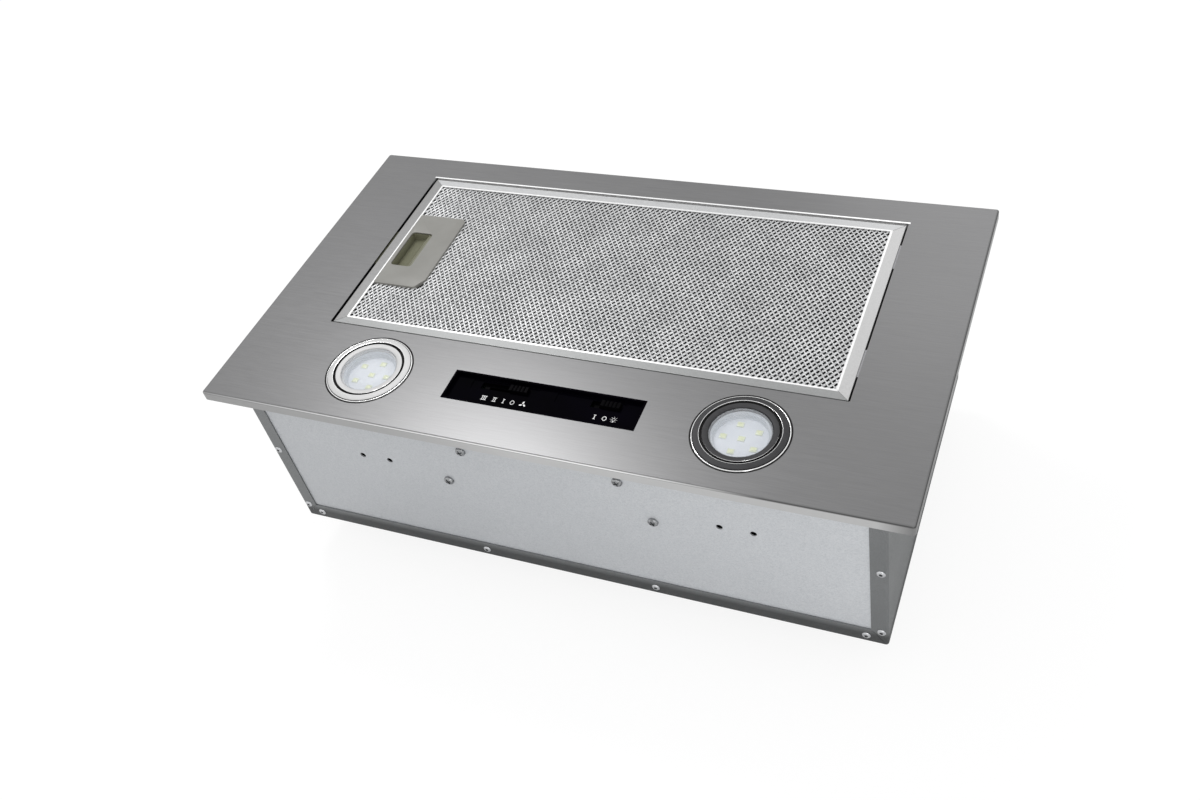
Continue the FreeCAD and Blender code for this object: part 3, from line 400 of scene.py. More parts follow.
def zincSheet(name, look):  # hot-dip spangle with small scratches
    material, tree, shader, place = startMaterial(name)
    warp = noiseOn(tree, place, (60, 60, 60), 3.0)
    moved = addNode(tree, "ShaderNodeMixRGB", {"Fac": 0.015, "Color1": place, "Color2": warp}, blend_type="ADD")
    cells = addNode(tree, "ShaderNodeTexVoronoi", {"Vector": moved.outputs["Color"], "Scale": look["spangle"]})
    tone = addNode(tree, "ShaderNodeSeparateColor", {"Color": cells.outputs["Color"]}).outputs["Red"]
    grit = noiseOn(tree, place, (1500, 1500, 1500), 2.0)
    cloud = noiseOn(tree, place, (9, 9, 14), 3.0)
    base = shades(tree, tone, look["dark"], look["light"], 0.0, 1.0)
    spotted = blend(tree, rangeOf(tree, grit, 0.0, look["speckle"]), base, look["spark"])
    stainAndPaintedLight = blend(tree, rangeOf(tree, cloud, 0.0, look["stain"]), spotted, look["dark"])
    for axis, change in (("X", "across"), ("Z", "foot")):  # painted light that grows slowly from end to end, and greyer bottom folds
        if change in look:
            shade, reach = look[change]
            stainAndPaintedLight = multiplied(tree, stainAndPaintedLight, rangeOf(tree, axesOf(tree, place)[axis], *shade, *reach))
    surface(tree, shader, look, stainAndPaintedLight, tone, grit, 0.04 * mm, (0.0, 1.0))
    return material


def mouldedPlastic(name, look):  # eroded mould grain, a little dust in the slow noise
    material, tree, shader, place = startMaterial(name)
    grain = noiseOn(tree, place, (look["grain"],) * 3, 3.0)
    cloud = noiseOn(tree, place, (25, 25, 25), 3.0)
    surface(tree, shader, look, shades(tree, cloud, look["dark"], look["light"]), grain, grain, 0.04 * mm)
    shader.inputs["Specular IOR Level"].default_value = look.get("gloss", 0.5)
    return material


def clearLens(name, look):  # clear moulded plastic with a faint milky body
    material, tree, shader, place = startMaterial(name)
    ripple = noiseOn(tree, place, (60, 60, 60), 2.0)
    surface(tree, shader, look, shades(tree, ripple, look["dark"], look["light"]), ripple, ripple, 0.1 * mm)
    shader.inputs["Alpha"].default_value = look["alpha"]
    return material


materialLooks = {
    "plate": {"grain": (45, 3200, 3200), "cloud": (5, 8, 8), "dark": (0.165, 0.165, 0.167),
              "light": (0.207, 0.207, 0.209), "stain": 0.3, "rough": (0.29, 0.36), "metal": 0.9, "relief": 0.08,
              # painted light: the rim's tones along X, the near-black lips (painted shade), and painted highlights
              # along the bend and the opening's far edge
              "rim": ((-0.26, 0.33), (-0.1, 0.42), (0.0, 0.58), (0.24, 0.54), (0.2605, 0.22)),
              "rimFade": (0.0064, 0.0072), "rimMetal": 0.4, "reach": (-0.2625, 0.2625),
              "bendHighlight": ((-0.26, 0.34), (-0.15, 0.7), (0.06, 0.95), (0.13, 0.5), (0.17, 0.1), (0.2605, 0.08)),
              "bendHighlightBand": ((0.0068, 0.0), (0.0072, 1.0), (0.0076, 1.0), (0.0078, 0.0)),
              "opening": ((0.001, 0.2025), (0.0315, 0.105)), "lip": (0.012, 0.012, 0.012),
              "farHighlightLine": (0.124, 0.0007), "paintedHighlight": (0.9, 0.9, 0.9),
              "bendReach": (0.006, 0.008), "farReach": (0.0, 0.14),
              "farLipShadeAndHighlight": ((0.0, 0.06), (0.11, 0.06), (0.12, 0.9), (0.14, 0.9))},
    # painted reflection: each member of the frame gets its own tone, and the inner lip gets a painted highlight
    "filterFrame": {"grain": (900, 900, 900), "left": (0.26, 0.26, 0.26), "right": (0.48, 0.48, 0.48),
                    "front": (0.28, 0.285, 0.285), "back": (0.5, 0.505, 0.51), "half": (0.2, 0.0904),
                    "middle": (0.001, 0.0315), "cornerSlope": 1.19, "lipStart": (0.0084, 0.0069),
                    "lip": (0.8, 0.8, 0.8), "rough": (0.3, 0.42), "metal": 0.75,
                    "shade": (0.9, 1.05), "relief": 0.1},
    "mesh": {"grain": (900, 900, 900), "cloud": (30, 30, 30), "dark": (0.24, 0.245, 0.25),
             "light": (0.93, 0.935, 0.94), "stain": 0.3, "rough": (0.2, 0.38), "metal": 0.9, "relief": 0.2},
    # painted shade: dark and light here are the near-black side behind the face mesh
    "meshPack": {"grain": (500, 500, 500), "dark": (0.002, 0.002, 0.0025), "light": (0.05, 0.051, 0.053),
                 "strand": (0.55, 0.555, 0.56), "hole": (0.035, 0.036, 0.038), "pitch": (0.0062, 0.009),
                 "strandShare": 0.17, "strandEdge": 0.03, "rough": (0.3, 0.5), "metal": 0.8, "relief": 0.6},
    # painted light: across makes the wall darker at one end and lighter at the other
    "wall": {"spangle": 900, "dark": (0.54, 0.56, 0.585), "light": (0.66, 0.675, 0.695), "spark": (0.78, 0.80, 0.82),
             "speckle": 0.5, "stain": 0.2, "rough": (0.42, 0.6), "metal": 0.5, "relief": 0.3,
             "across": ((0.84, 1.06), (-0.24, 0.24))},
    "wrapper": {"spangle": 900, "dark": (0.178, 0.184, 0.187), "light": (0.25, 0.256, 0.259),
                "spark": (0.32, 0.33, 0.335), "speckle": 0.6, "stain": 0.4, "rough": (0.42, 0.58), "metal": 0.8,
                "relief": 0.3, "foot": ((0.44, 1.0), (-0.146, -0.14))},
    # painted reflection: the same bezel metal, pale on the left lamp and dark on the right, for what each one mirrors
    "bezelLeft": {"grain": (900, 1800, 1800), "cloud": (40, 40, 40), "dark": (0.5, 0.5, 0.5),
                  "light": (0.6, 0.6, 0.6), "stain": 0.3, "rough": (0.5, 0.6), "metal": 0.4, "relief": 0.1},
    "bezelRight": {"grain": (120, 1800, 1800), "cloud": (40, 40, 40), "dark": (0.038, 0.038, 0.04),
                   "light": (0.07, 0.07, 0.072), "stain": 0.3, "rough": (0.5, 0.62), "metal": 0.9, "relief": 0.15},
    # painted highlight: the bright rings on the bezels
    "bezelShine": {"grain": (900, 1800, 1800), "cloud": (40, 40, 40), "dark": (0.8, 0.8, 0.8),
                   "light": (0.92, 0.92, 0.92), "stain": 0.2, "rough": (0.15, 0.25), "metal": 1.0, "relief": 0.1},
    "screw": {"grain": (1500, 1500, 1500), "cloud": (200, 200, 200), "dark": (0.5, 0.51, 0.53),
              "light": (0.8, 0.81, 0.82), "stain": 0.4, "rough": (0.2, 0.4), "metal": 0.9, "relief": 0.2},
    "screwDark": {"grain": (700, 700, 700), "cloud": (300, 300, 300), "dark": (0.12, 0.125, 0.13),
                  "light": (0.62, 0.63, 0.64), "stain": 0.4, "rough": (0.12, 0.25), "metal": 1.0, "relief": 0.2},
    "darkSteel": {"grain": (300, 1500, 1500), "cloud": (40, 40, 40), "dark": (0.2, 0.2, 0.21),
                  "light": (0.35, 0.35, 0.36), "stain": 0.4, "rough": (0.3, 0.5), "metal": 0.9, "relief": 0.2},
    "latch": {"grain": 2500, "dark": (0.22, 0.217, 0.2), "light": (0.262, 0.258, 0.24), "rough": (0.38, 0.5),
              "relief": 0.2},
    "catch": {"grain": 2500, "dark": (0.16, 0.16, 0.105), "light": (0.205, 0.205, 0.14), "rough": (0.3, 0.45),
              "relief": 0.2},
    "panel": {"grain": 900, "dark": (0.0007, 0.0006, 0.001), "light": (0.0014, 0.001, 0.003), "rough": (0.05, 0.1),
              "relief": 0.02, "gloss": 0.01},
    "lever": {"grain": 1800, "dark": (0.001, 0.0009, 0.0012), "light": (0.002, 0.0018, 0.0024), "rough": (0.15, 0.25),
              "relief": 0.1, "gloss": 0.015},
    "darkPlastic": {"grain": 1500, "dark": (0.02, 0.02, 0.022), "light": (0.04, 0.04, 0.043), "rough": (0.4, 0.6),
                    "relief": 0.35},
    "greyPlastic": {"grain": 1500, "dark": (0.12, 0.12, 0.125), "light": (0.18, 0.18, 0.19), "rough": (0.4, 0.6),
                    "relief": 0.3},
    "palePlastic": {"grain": 1800, "dark": (0.62, 0.63, 0.63), "light": (0.74, 0.75, 0.75), "rough": (0.35, 0.5),
                    "relief": 0.2},
    "rubber": {"grain": 900, "dark": (0.012, 0.012, 0.012), "light": (0.03, 0.03, 0.03), "rough": (0.6, 0.8),
               "relief": 0.3, "gloss": 0.1},
    "circuit": {"grain": 1200, "dark": (0.008, 0.035, 0.015), "light": (0.014, 0.055, 0.024), "rough": (0.35, 0.5),
                "relief": 0.2},
    "board": {"grain": 3000, "dark": (0.70, 0.73, 0.79), "light": (0.78, 0.81, 0.86), "rough": (0.45, 0.6),
              "relief": 0.05},
    "reflector": {"grain": 3000, "dark": (0.44, 0.47, 0.51), "light": (0.55, 0.58, 0.62), "rough": (0.4, 0.55),
                  "relief": 0.1},
    "chip": {"grain": 3000, "dark": (0.78, 0.82, 0.36), "light": (0.86, 0.9, 0.5), "rough": (0.1, 0.2),
             "relief": 0.05},
    "chipCase": {"grain": 3000, "dark": (0.72, 0.77, 0.46), "light": (0.8, 0.85, 0.56), "rough": (0.2, 0.3),
                 "relief": 0.05},
    "lens": {"dark": (0.86, 0.9, 0.95), "light": (0.93, 0.95, 0.99), "alpha": 0.2, "rough": (0.22, 0.32),
             "relief": 0.03},
    "ink": {"grain": 4000, "dark": (0.8, 0.8, 0.8), "light": (0.95, 0.95, 0.95), "rough": (0.4, 0.55), "relief": 0.1},
}

makers = ((brushedMetal, "plate mesh bezelLeft bezelRight bezelShine screw screwDark darkSteel"),
          (mitredFrame, "filterFrame"), (packMetal, "meshPack"), (zincSheet, "wall wrapper"), (clearLens, "lens"),
          (mouldedPlastic, "latch catch panel lever darkPlastic greyPlastic palePlastic rubber circuit board "
                           "reflector chip chipCase ink"))
made = {name: maker(name, materialLooks[name]) for maker, names in makers for name in names.split()}
print("materials made")


def finish(piece, material, body, slotName, *nodes):  # material, then what it rides on and stands for
    piece.data.materials.clear()
    piece.data.materials.append(made[material])
    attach(piece, body)
    if nodes:
        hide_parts(*nodes)


def nodeBox(name):
    low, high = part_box(name)
    return Vector(low), Vector(high)


# the filter's face mesh

meshValues = {"pitchX": 4.13 * mm, "pitchY": 6.02 * mm, "strand": 0.48 * mm, "squeeze": 0.2, "tilt": 0.22 * mm,
              "sheet": 0.16 * mm, "underLatch": 0.6 * mm}
frameValues = {"endFace": 10.0 * mm, "sideFace": 8.4 * mm, "underFrame": 1.2 * mm}


def faceMesh():
    v = meshValues
    low, high = nodeBox("filter_frame")
    x0 = low.x + frameValues["endFace"] - frameValues["underFrame"]
    x1 = high.x - frameValues["endFace"] + frameValues["underFrame"]
    y0 = low.y + frameValues["sideFace"] - frameValues["underFrame"]
    y1 = high.y - frameValues["sideFace"] + frameValues["underFrame"]
    top = nodeBox("filter_mesh")[1].z
    countX = math.ceil((x1 - x0) / v["pitchX"]) + 1
    countY = math.ceil((y1 - y0) / v["pitchY"]) + 1
    startPiece()
    bpy.ops.mesh.primitive_circle_add(vertices=4, radius=1, fill_type="NGON", location=(x0, y0, top - v["tilt"]))
    obj = newest("faceMesh")
    obj.scale = (v["pitchX"] / 2, v["pitchY"] / 2, 1)
    settle(obj)
    editOn(obj)
    selectAll()
    bpy.ops.mesh.inset(thickness=v["strand"])
    bpy.ops.mesh.delete(type="ONLY_FACE")
    half = Vector((v["pitchX"] / 2, v["pitchY"] / 2, 0))
    openShare = 1 - v["strand"] * half.length / (half.x * half.y)
    slant = Vector((half.x, -half.y, 0)).normalized()
    middle = Vector((x0, y0, top - v["tilt"]))
    for x, y, rise in ((1, 0, 1), (-1, 0, -1), (0, 1, 0), (0, -1, 0)):  # each corner of the hole moves in or tilts
        corner = Vector((x * half.x, y * half.y, 0)) * openShare
        pick("VERT", lambda co, n: (co - middle - corner).length < near)
        move = -v["squeeze"] * corner.dot(slant) * slant
        bpy.ops.transform.translate(value=(move.x, move.y, rise * v["tilt"]))
    selectAll()
    bpy.ops.mesh.duplicate_move(TRANSFORM_OT_translate={"value": (v["pitchX"] / 2, v["pitchY"] / 2, 0)})
    editOff()
    for axis, count, pitch in ((0, countX, v["pitchX"]), (1, countY, v["pitchY"])):
        step = [0, 0, 0]
        step[axis] = pitch
        applyModifier(obj, "ARRAY", count=count, use_relative_offset=False, use_constant_offset=True,
                      constant_offset_displace=step, use_merge_vertices=False)
    editOn(obj)
    selectAll()
    bpy.ops.mesh.remove_doubles(threshold=2 * weld)
    for place, normal in (((x0, 0, 0), (-1, 0, 0)), ((x1, 0, 0), (1, 0, 0)), ((0, y0, 0), (0, -1, 0)),
                          ((0, y1, 0), (0, 1, 0))):
        cutAlong(place, normal, clear_outer=True)
    latchLow, latchHigh = nodeBox("latch_housing")
    edge = v["underLatch"]
    pick("FACE", lambda co, n: latchLow.x + edge < co.x < latchHigh.x - edge
         and latchLow.y + edge < co.y < latchHigh.y - edge)
    bpy.ops.mesh.delete(type="FACE")
    editOff()
    applyModifier(obj, "SOLIDIFY", thickness=v["sheet"], offset=-1)
    finish(obj, "mesh", "filter", "filter_metal", "filter_mesh")


faceMesh()
print("face mesh made")


# the latch: a moulded plate with a window, and the sliding cup seen through it

latchValues = {"skin": 1.0 * mm, "wall": 1.6 * mm, "frontCut": (5.6 * mm, 10.0 * mm), "backCut": (3.0 * mm, 3.0 * mm),
               "corner": 1.2 * mm, "windowInset": 3.1 * mm, "windowWidth": 19.2 * mm, "windowLength": 41.0 * mm,
               "windowCorner": 3.0 * mm, "tongueHalf": 19.9 * mm, "edge": 0.3 * mm,
               "slotPlay": 0.4 * mm, "slotFoot": 2.3 * mm, "slotHead": 0.3 * mm}


def upright(co, way):  # an edge that stands along Z
    return abs(way.z) > 5 * mm


def latchPlate():
    v = latchValues
    low, high = nodeBox("latch_housing")
    obj = addBlock("latchPlate", low, high)
    editOn(obj)
    for corner, cut, side in (((high.x, low.y), v["frontCut"], -1), ((high.x, high.y), v["backCut"], 1)):
        across = Vector((cut[1], side * cut[0], 0)).normalized()
        cutAlong((corner[0] - cut[0], corner[1], 0), across, use_fill=True, clear_outer=True)
    pick("EDGE", upright)
    bpy.ops.mesh.bevel(offset=v["corner"], segments=4)
    pick("FACE", lambda co, n: n.z < -0.9)
    bpy.ops.mesh.inset(thickness=v["wall"])
    drawOut(0, 0, high.z - v["skin"] - low.z)
    editOff()
    middleY = (low.y + high.y) / 2
    x0 = low.x + v["windowInset"]
    window = addBlock("window", (x0, middleY - v["windowLength"] / 2, high.z - 4 * mm),
                      (x0 + v["windowWidth"], middleY + v["windowLength"] / 2, high.z + 4 * mm))
    editOn(window)
    pick("EDGE", upright)
    bpy.ops.mesh.bevel(offset=v["windowCorner"], segments=5)
    editOff()
    cutAway(obj, window)
    catchTop = nodeBox("latch_catch")[1].z
    half = v["tongueHalf"] + v["slotPlay"]
    cutAway(obj, addBlock("slot", (low.x - mm, middleY - half, catchTop - v["slotFoot"]),
                          (low.x + v["wall"] + mm, middleY + half, catchTop + v["slotHead"])))
    softenEdges(obj, v["edge"], 2, 50)
    smooth(obj)
    finish(obj, "latch", "filter", "latch_plastic", "latch_housing")


catchValues = {"cupWall": 1.3 * mm, "halfLength": 21.4 * mm, "floor": 0.7 * mm,
               "bottom": -1.3 * mm, "slit": 0.9 * mm, "slitDepth": 1.2 * mm, "ledge": 3.6 * mm, "lip": 0.7 * mm,
               "lipHeight": 0.3 * mm, "tongue": 2.0 * mm, "tailHalf": 3.0 * mm, "tailDepth": 5.0 * mm,
               "ramp": ((4.6 * mm, 0.5 * mm), (2.6 * mm, 1.6 * mm), (1.3 * mm, 3.4 * mm)), "rampFoot": 2.0 * mm,
               "soft": 0.2 * mm}


def catchCup():
    v = catchValues
    latchLow, latchHigh = nodeBox("latch_housing")
    low, high = nodeBox("latch_catch")
    w = latchValues
    middleY = (low.y + high.y) / 2
    top = high.z
    windowX0 = latchLow.x + w["windowInset"]
    windowX1 = windowX0 + w["windowWidth"]
    ledgeX = windowX1 - v["ledge"]
    x0 = windowX0 - v["cupWall"]
    x1 = windowX1 + v["cupWall"]
    obj = addBlock("catchCup", (x0, middleY - v["halfLength"], v["bottom"]), (x1, middleY + v["halfLength"], top))
    editOn(obj)
    inner = v["halfLength"] - v["cupWall"]
    for x in (windowX0, windowX0 + v["slit"], ledgeX, ledgeX + v["lip"]):
        cutAlong((x, 0, 0), (1, 0, 0))
    for half in (inner, w["tongueHalf"], v["tailHalf"]):
        for side in (-1, 1):
            cutAlong((0, middleY + side * half, 0), (0, 1, 0))
    for depth in (v["tongue"], v["tailDepth"]):
        cutAlong((0, 0, top - depth), (0, 0, 1))
    pick("FACE", lambda co, n: n.z > 0.9 and windowX0 < co.x < ledgeX and abs(co.y - middleY) < inner)
    level = top
    for height, pull in v["ramp"] + ((v["floor"], v["rampFoot"]),):  # the finger's slope
        drawOut(0, 0, height - level)
        edge = ledgeX - 0.1 * mm - sum(p for h, p in v["ramp"] if h > height)
        pick("VERT", lambda co, n: abs(co.z - height) < near and co.x > edge - 0.3 * mm
             and abs(co.y - middleY) < inner + near and co.x < ledgeX + near)
        bpy.ops.transform.translate(value=(-pull, 0, 0))
        level = height
        pick("FACE", lambda co, n: n.z > 0.5 and abs(co.z - height) < near and windowX0 < co.x < ledgeX)
    pick("FACE", lambda co, n: n.z > 0.5 and abs(co.z - v["floor"]) < near and co.x < windowX0 + v["slit"])
    drawOut(0, 0, -v["slitDepth"])
    pick("FACE", lambda co, n: n.z > 0.9 and ledgeX < co.x < ledgeX + v["lip"] and abs(co.y - middleY) < inner
         and co.z > top - near)
    drawOut(0, 0, v["lipHeight"])
    pick("FACE", lambda co, n: n.x < -0.9 and abs(co.x - x0) < near and co.z > top - v["tongue"]
         and abs(co.y - middleY) < w["tongueHalf"])
    drawOut(low.x - x0, 0, 0)
    pick("VERT", lambda co, n: co.x < low.x + near and co.z < top - mm)
    bpy.ops.transform.translate(value=(v["tongue"] + mm, 0, 0))
    pick("FACE", lambda co, n: n.x > 0.9 and abs(co.x - x1) < near and co.z > top - v["tailDepth"]
         and abs(co.y - middleY) < v["tailHalf"])
    drawOut(high.x - x1, 0, 0)
    editOff()
    softenEdges(obj, v["soft"])
    smooth(obj)
    finish(obj, "catch", "latch", "latch_plastic", "latch_catch")


springValues = {"strip": 0.5 * mm, "bends": 6, "corner": 0.55 * mm, "fixedEnd": -148.0 * mm, "keep": 0.6}


def latchSpring():  # a flat strip bent to and fro; the real spring shortens as the catch slides, this one keeps one shape
    v = springValues
    low, high = nodeBox("latch_spring")
    half = v["strip"] / 2
    step = (high.x - low.x - v["strip"]) / v["bends"]
    swing = high.y - low.y - v["strip"]
    startPiece()
    bpy.ops.mesh.primitive_plane_add(size=mm, location=(low.x + half + mm / 2, low.y + half + mm / 2, low.z))
    obj = newest("latchSpring")
    settle(obj)
    editOn(obj)
    pick("VERT", lambda co, n: co.x > low.x + mm or co.y > low.y + mm)
    bpy.ops.mesh.delete(type="VERT")
    selectAll()
    for n in range(v["bends"] + 1):
        drawOut(0, -swing if n % 2 else swing, 0)
        if n < v["bends"]:
            drawOut(step, 0, 0)
    selectAll()
    bpy.ops.mesh.bevel(offset=v["corner"], segments=3, affect="VERTICES")
    selectAll()
    drawOut(0, 0, high.z - low.z)
    editOff()
    applyModifier(obj, "SOLIDIFY", thickness=v["strip"], offset=0)
    outward(obj)
    smooth(obj)
    finish(obj, "screw", "filter", "spring_steel", "latch_spring")
    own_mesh(obj)


latchPlate()
catchCup()
latchSpring()
print("latch made")


# lamps: bezel, lens and the white well between the lens and the board

lampValues = {"spread": 141.5 * mm, "line": -101.4 * mm, "wellTop": 20.4 * mm, "wellFoot": 18.6 * mm,
              "wellWall": 0.6 * mm, "wellRim": 6.95 * mm, "wellLip": 1.2 * mm,
              "bezel": ((33.6, 8.0), (33.6, 8.12), (32.4, 8.12), (32.25, 8.35), (31.95, 8.45), (31.8, 8.4),
                        (31.75, 8.15), (31.4, 8.15), (31.35, 8.8), (31.15, 9.0), (30.85, 9.05), (27.3, 9.75),
                        (27.05, 9.7), (26.95, 9.5), (26.9, 8.05), (25.25, 8.05), (25.2, 9.3), (25.0, 9.55),
                        (24.7, 9.6), (21.7, 9.3), (21.4, 9.2), (21.2, 8.95), (21.15, 7.0), (20.0, 7.0), (20.0, 6.6),
                        (26.0, 2.0), (27.4, 2.0), (27.4, 8.0)),
              # painted highlight rings, then painted shade rings for the dark outline and grooves
              "shine": ((31.78, 32.36, 8.2), (26.92, 27.28, 9.45), (24.9, 25.22, 9.2)),
              "dark": ((32.34, 33.7, 8.25), (31.36, 31.8, 8.5), (25.2, 26.94, 9.4)),
              "chip": 4.6 * mm, "chipDeep": 4.0 * mm, "chipHigh": 0.7 * mm, "dome": 1.7 * mm, "domeHigh": 0.9 * mm,
              "ringRadius": 12.4 * mm, "ringTurn": {"Left": -54.7, "Right": -18.7}, "ringCount": 5,
              "lens": ((20.9, 7.0), (20.9, 8.6), (20.7, 8.85), (20.3, 8.95), (18.4, 9.0), (18.2, 8.9), (17.9, 8.9),
                       (17.7, 9.0), (10.0, 9.05), (3.0, 9.08), (0.05, 9.08))}


def scaled(profile):
    return [(r * mm, z * mm) for r, z in profile]


def lamp(side, name):
    v = lampValues
    place = (side * v["spread"], v["line"])
    bezel = lathe("bezel" + name, scaled(v["bezel"]) + scaled(v["bezel"][:1]), place, 128)
    closeTurn(bezel)
    smooth(bezel, 40)
    # painted reflection: each lamp's bezel gets its own pale or dark copy of the metal
    finish(bezel, "bezel" + name, "housing", "bezel_metal", "lamp_bezel_" + name.lower())

    def ringAt(bands, above):
        def wanted(co, n):
            radius = math.hypot(co.x - place[0], co.y - place[1])
            return any(low * mm < radius < high * mm and (co.z > z * mm) == above for low, high, z in bands)
        return wanted

    # painted highlight: bright rings on the bezel's edges
    paint(bezel, "bezelShine", ringAt(v["shine"], True))
    # painted shade: a near-black outline around the bezel and in its grooves
    paint(bezel, "rubber", ringAt(v["dark"], False))
    lens = lathe("lens" + name, scaled(v["lens"]), place, 96)
    closeTurn(lens)
    smooth(lens, 40)
    finish(lens, "lens", "housing", "lens", "lamp_lens_" + name.lower())
    foot = nodeBox("lamp_board_" + name.lower())[1].z
    top, wall = v["wellRim"], v["wellWall"]
    profile = []
    for n in range(5):  # shallow steps down the reflector
        radius = v["wellTop"] + (v["wellFoot"] - v["wellTop"]) * n / 4
        height = top + (foot - top) * n / 4
        profile.append((radius - wall, height))
        if 0 < n < 4:
            profile.append((radius - 2 * wall, height))
    outer = v["wellTop"] + wall / 2
    well = lathe("well" + name, profile + [(outer, foot), (outer, top - v["wellLip"]), profile[0]], place, 96)
    closeTurn(well)
    smooth(well, 40)
    finish(well, "reflector", "housing", "lamp_metal")


def chips(side, name):  # one chip in the middle and a ring of them, each a pale case under a yellow dome
    v = lampValues
    low, high = nodeBox("lamp_leds_" + name.lower())
    half = Vector((v["chip"] / 2, v["chipDeep"] / 2, 0))
    case = addBlock("chipCase", Vector((0, 0, low.z)) - half, Vector((0, 0, low.z + v["chipHigh"])) + half)
    softenEdges(case, 0.15 * mm)
    case.data.materials.append(made["chipCase"])
    dome = lathe("chipDome", [(v["dome"], low.z + v["chipHigh"] / 2), (v["dome"], low.z + v["chipHigh"]),
                              (v["dome"] * 0.8, low.z + v["domeHigh"] * 0.95), (0.1 * mm, low.z + v["domeHigh"])],
                 (0, 0), 20)
    closeTurn(dome)
    dome.data.materials.append(made["chip"])
    spots = [(0, 0)]
    for n in range(v["ringCount"]):
        turn = math.radians(v["ringTurn"][name] + 360 / v["ringCount"] * n)
        spots.append((v["ringRadius"] * math.sin(turn), v["ringRadius"] * math.cos(turn)))
    obj = repeat(joinTo(case, [dome]), "chips" + name,
                 [Matrix.Translation((side * v["spread"] + x, v["line"] + y, 0)) for x, y in spots])
    smooth(obj, 40)
    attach(obj, "housing")
    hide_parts("lamp_leds_" + name.lower())


for side, name in ((-1, "Left"), (1, "Right")):
    lamp(side, name)
    chips(side, name)
print("lamps made")


# the glossy panel of the levers and its marks

panelValues = {"middle": -1.2 * mm, "line": -101.4 * mm, "halfWidth": 73.4 * mm, "halfDepth": 13.75 * mm,
               "rim": 1.6 * mm, "recess": 2.9 * mm, "flange": 3.0 * mm, "plateUnder": 7.0 * mm,
               "leverLine": -95.2 * mm, "slotHalf": 3.0 * mm, "troughHalf": 4.3 * mm, "troughLength": 52.0 * mm,
               "troughX": (-33.0 * mm, 33.0 * mm), "troughDepth": 0.5 * mm,
               "slots": ((-51.2 * mm, -14.2 * mm), (33.5 * mm, 55.5 * mm)), "edge": 0.35 * mm}


def panel():
    v = panelValues
    low, high = nodeBox("panel_frame")
    obj = addBlock("panel", (v["middle"] - v["halfWidth"], v["line"] - v["halfDepth"], low.z),
                   (v["middle"] + v["halfWidth"], v["line"] + v["halfDepth"], high.z))
    editOn(obj)
    cutAlong((0, 0, v["plateUnder"]), (0, 0, 1))
    pick("FACE", lambda co, n: abs(n.z) < 0.1 and co.z < v["plateUnder"])
    bpy.ops.mesh.extrude_region_shrink_fatten(TRANSFORM_OT_shrink_fatten={"value": v["flange"]})
    pick("FACE", lambda co, n: n.z > 0.9 and co.z > high.z - near)
    bpy.ops.mesh.inset(thickness=v["rim"])
    drawOut(0, 0, -v["recess"])
    editOff()
    floorZ = high.z - v["recess"]
    for x in v["troughX"]:
        cutAway(obj, addBlock("trough", (x - v["troughLength"] / 2, v["leverLine"] - v["troughHalf"],
                                         floorZ - v["troughDepth"]),
                              (x + v["troughLength"] / 2, v["leverLine"] + v["troughHalf"], high.z)))
    for slotX0, slotX1 in v["slots"]:
        cutAway(obj, addBlock("slot", (slotX0, v["leverLine"] - v["slotHalf"], low.z - mm),
                              (slotX1, v["leverLine"] + v["slotHalf"], high.z)))
    softenEdges(obj, v["edge"], 3, 50)
    smooth(obj)
    applyModifier(obj, "WEIGHTED_NORMAL", keep_sharp=True)  # keeps the wide faces flat in the gloss
    finish(obj, "panel", "housing", "panel_gloss", "panel_frame")


markValues = {"foot": -108.8 * mm, "height": 3.9 * mm, "stroke": 0.5 * mm, "serif": 0.42 * mm, "thick": 0.12 * mm,
              "gap": 1.3 * mm, "overhang": 0.85 * mm, "sunk": 0.02 * mm,
              "numerals": ((-44.3, 3), (-36.0, 2), (-28.9, 1), (40.3, 1)), "zeros": (-22.1, 47.5),
              "zeroRing": (1.95 * mm, 1.45 * mm, 0.82), "fan": -13.9, "blade": 1.2 * mm, "bladeCount": 3,
              "bladeTurn": 75, "bladeOut": (1.5 * mm, 0.45 * mm, 0), "bladeShape": (1, 0.55, 1, 1),
              "bulb": 54.2, "bulbRise": 0.4 * mm, "bulbRing": (1.3 * mm, 1.05 * mm, 1.0),
              "rays": (0, 45, 90, 135, 180, 225, 315), "ray": (1.95 * mm, 2.6 * mm, -0.11 * mm, 0.11 * mm),
              "capHalf": 0.6 * mm, "capLines": ((-0.1 * mm, 0.25 * mm), (0.6 * mm, 0.95 * mm))}


def markBar(x0, x1, y0, y1, level):
    return addBlock("markBar", (x0, y0, level), (x1, y1, level + markValues["thick"]))


def markRing(x, y, level, outer, inner, squeeze):
    top = level + markValues["thick"]
    ring = lathe("markRing", [(outer, level), (outer, top), (inner, top), (inner, level), (outer, level)], (0, 0), 24)
    closeTurn(ring)
    ring.data.transform(Matrix.Translation((x, y, 0)) @ Matrix.Diagonal((squeeze, 1, 1, 1)))
    return ring


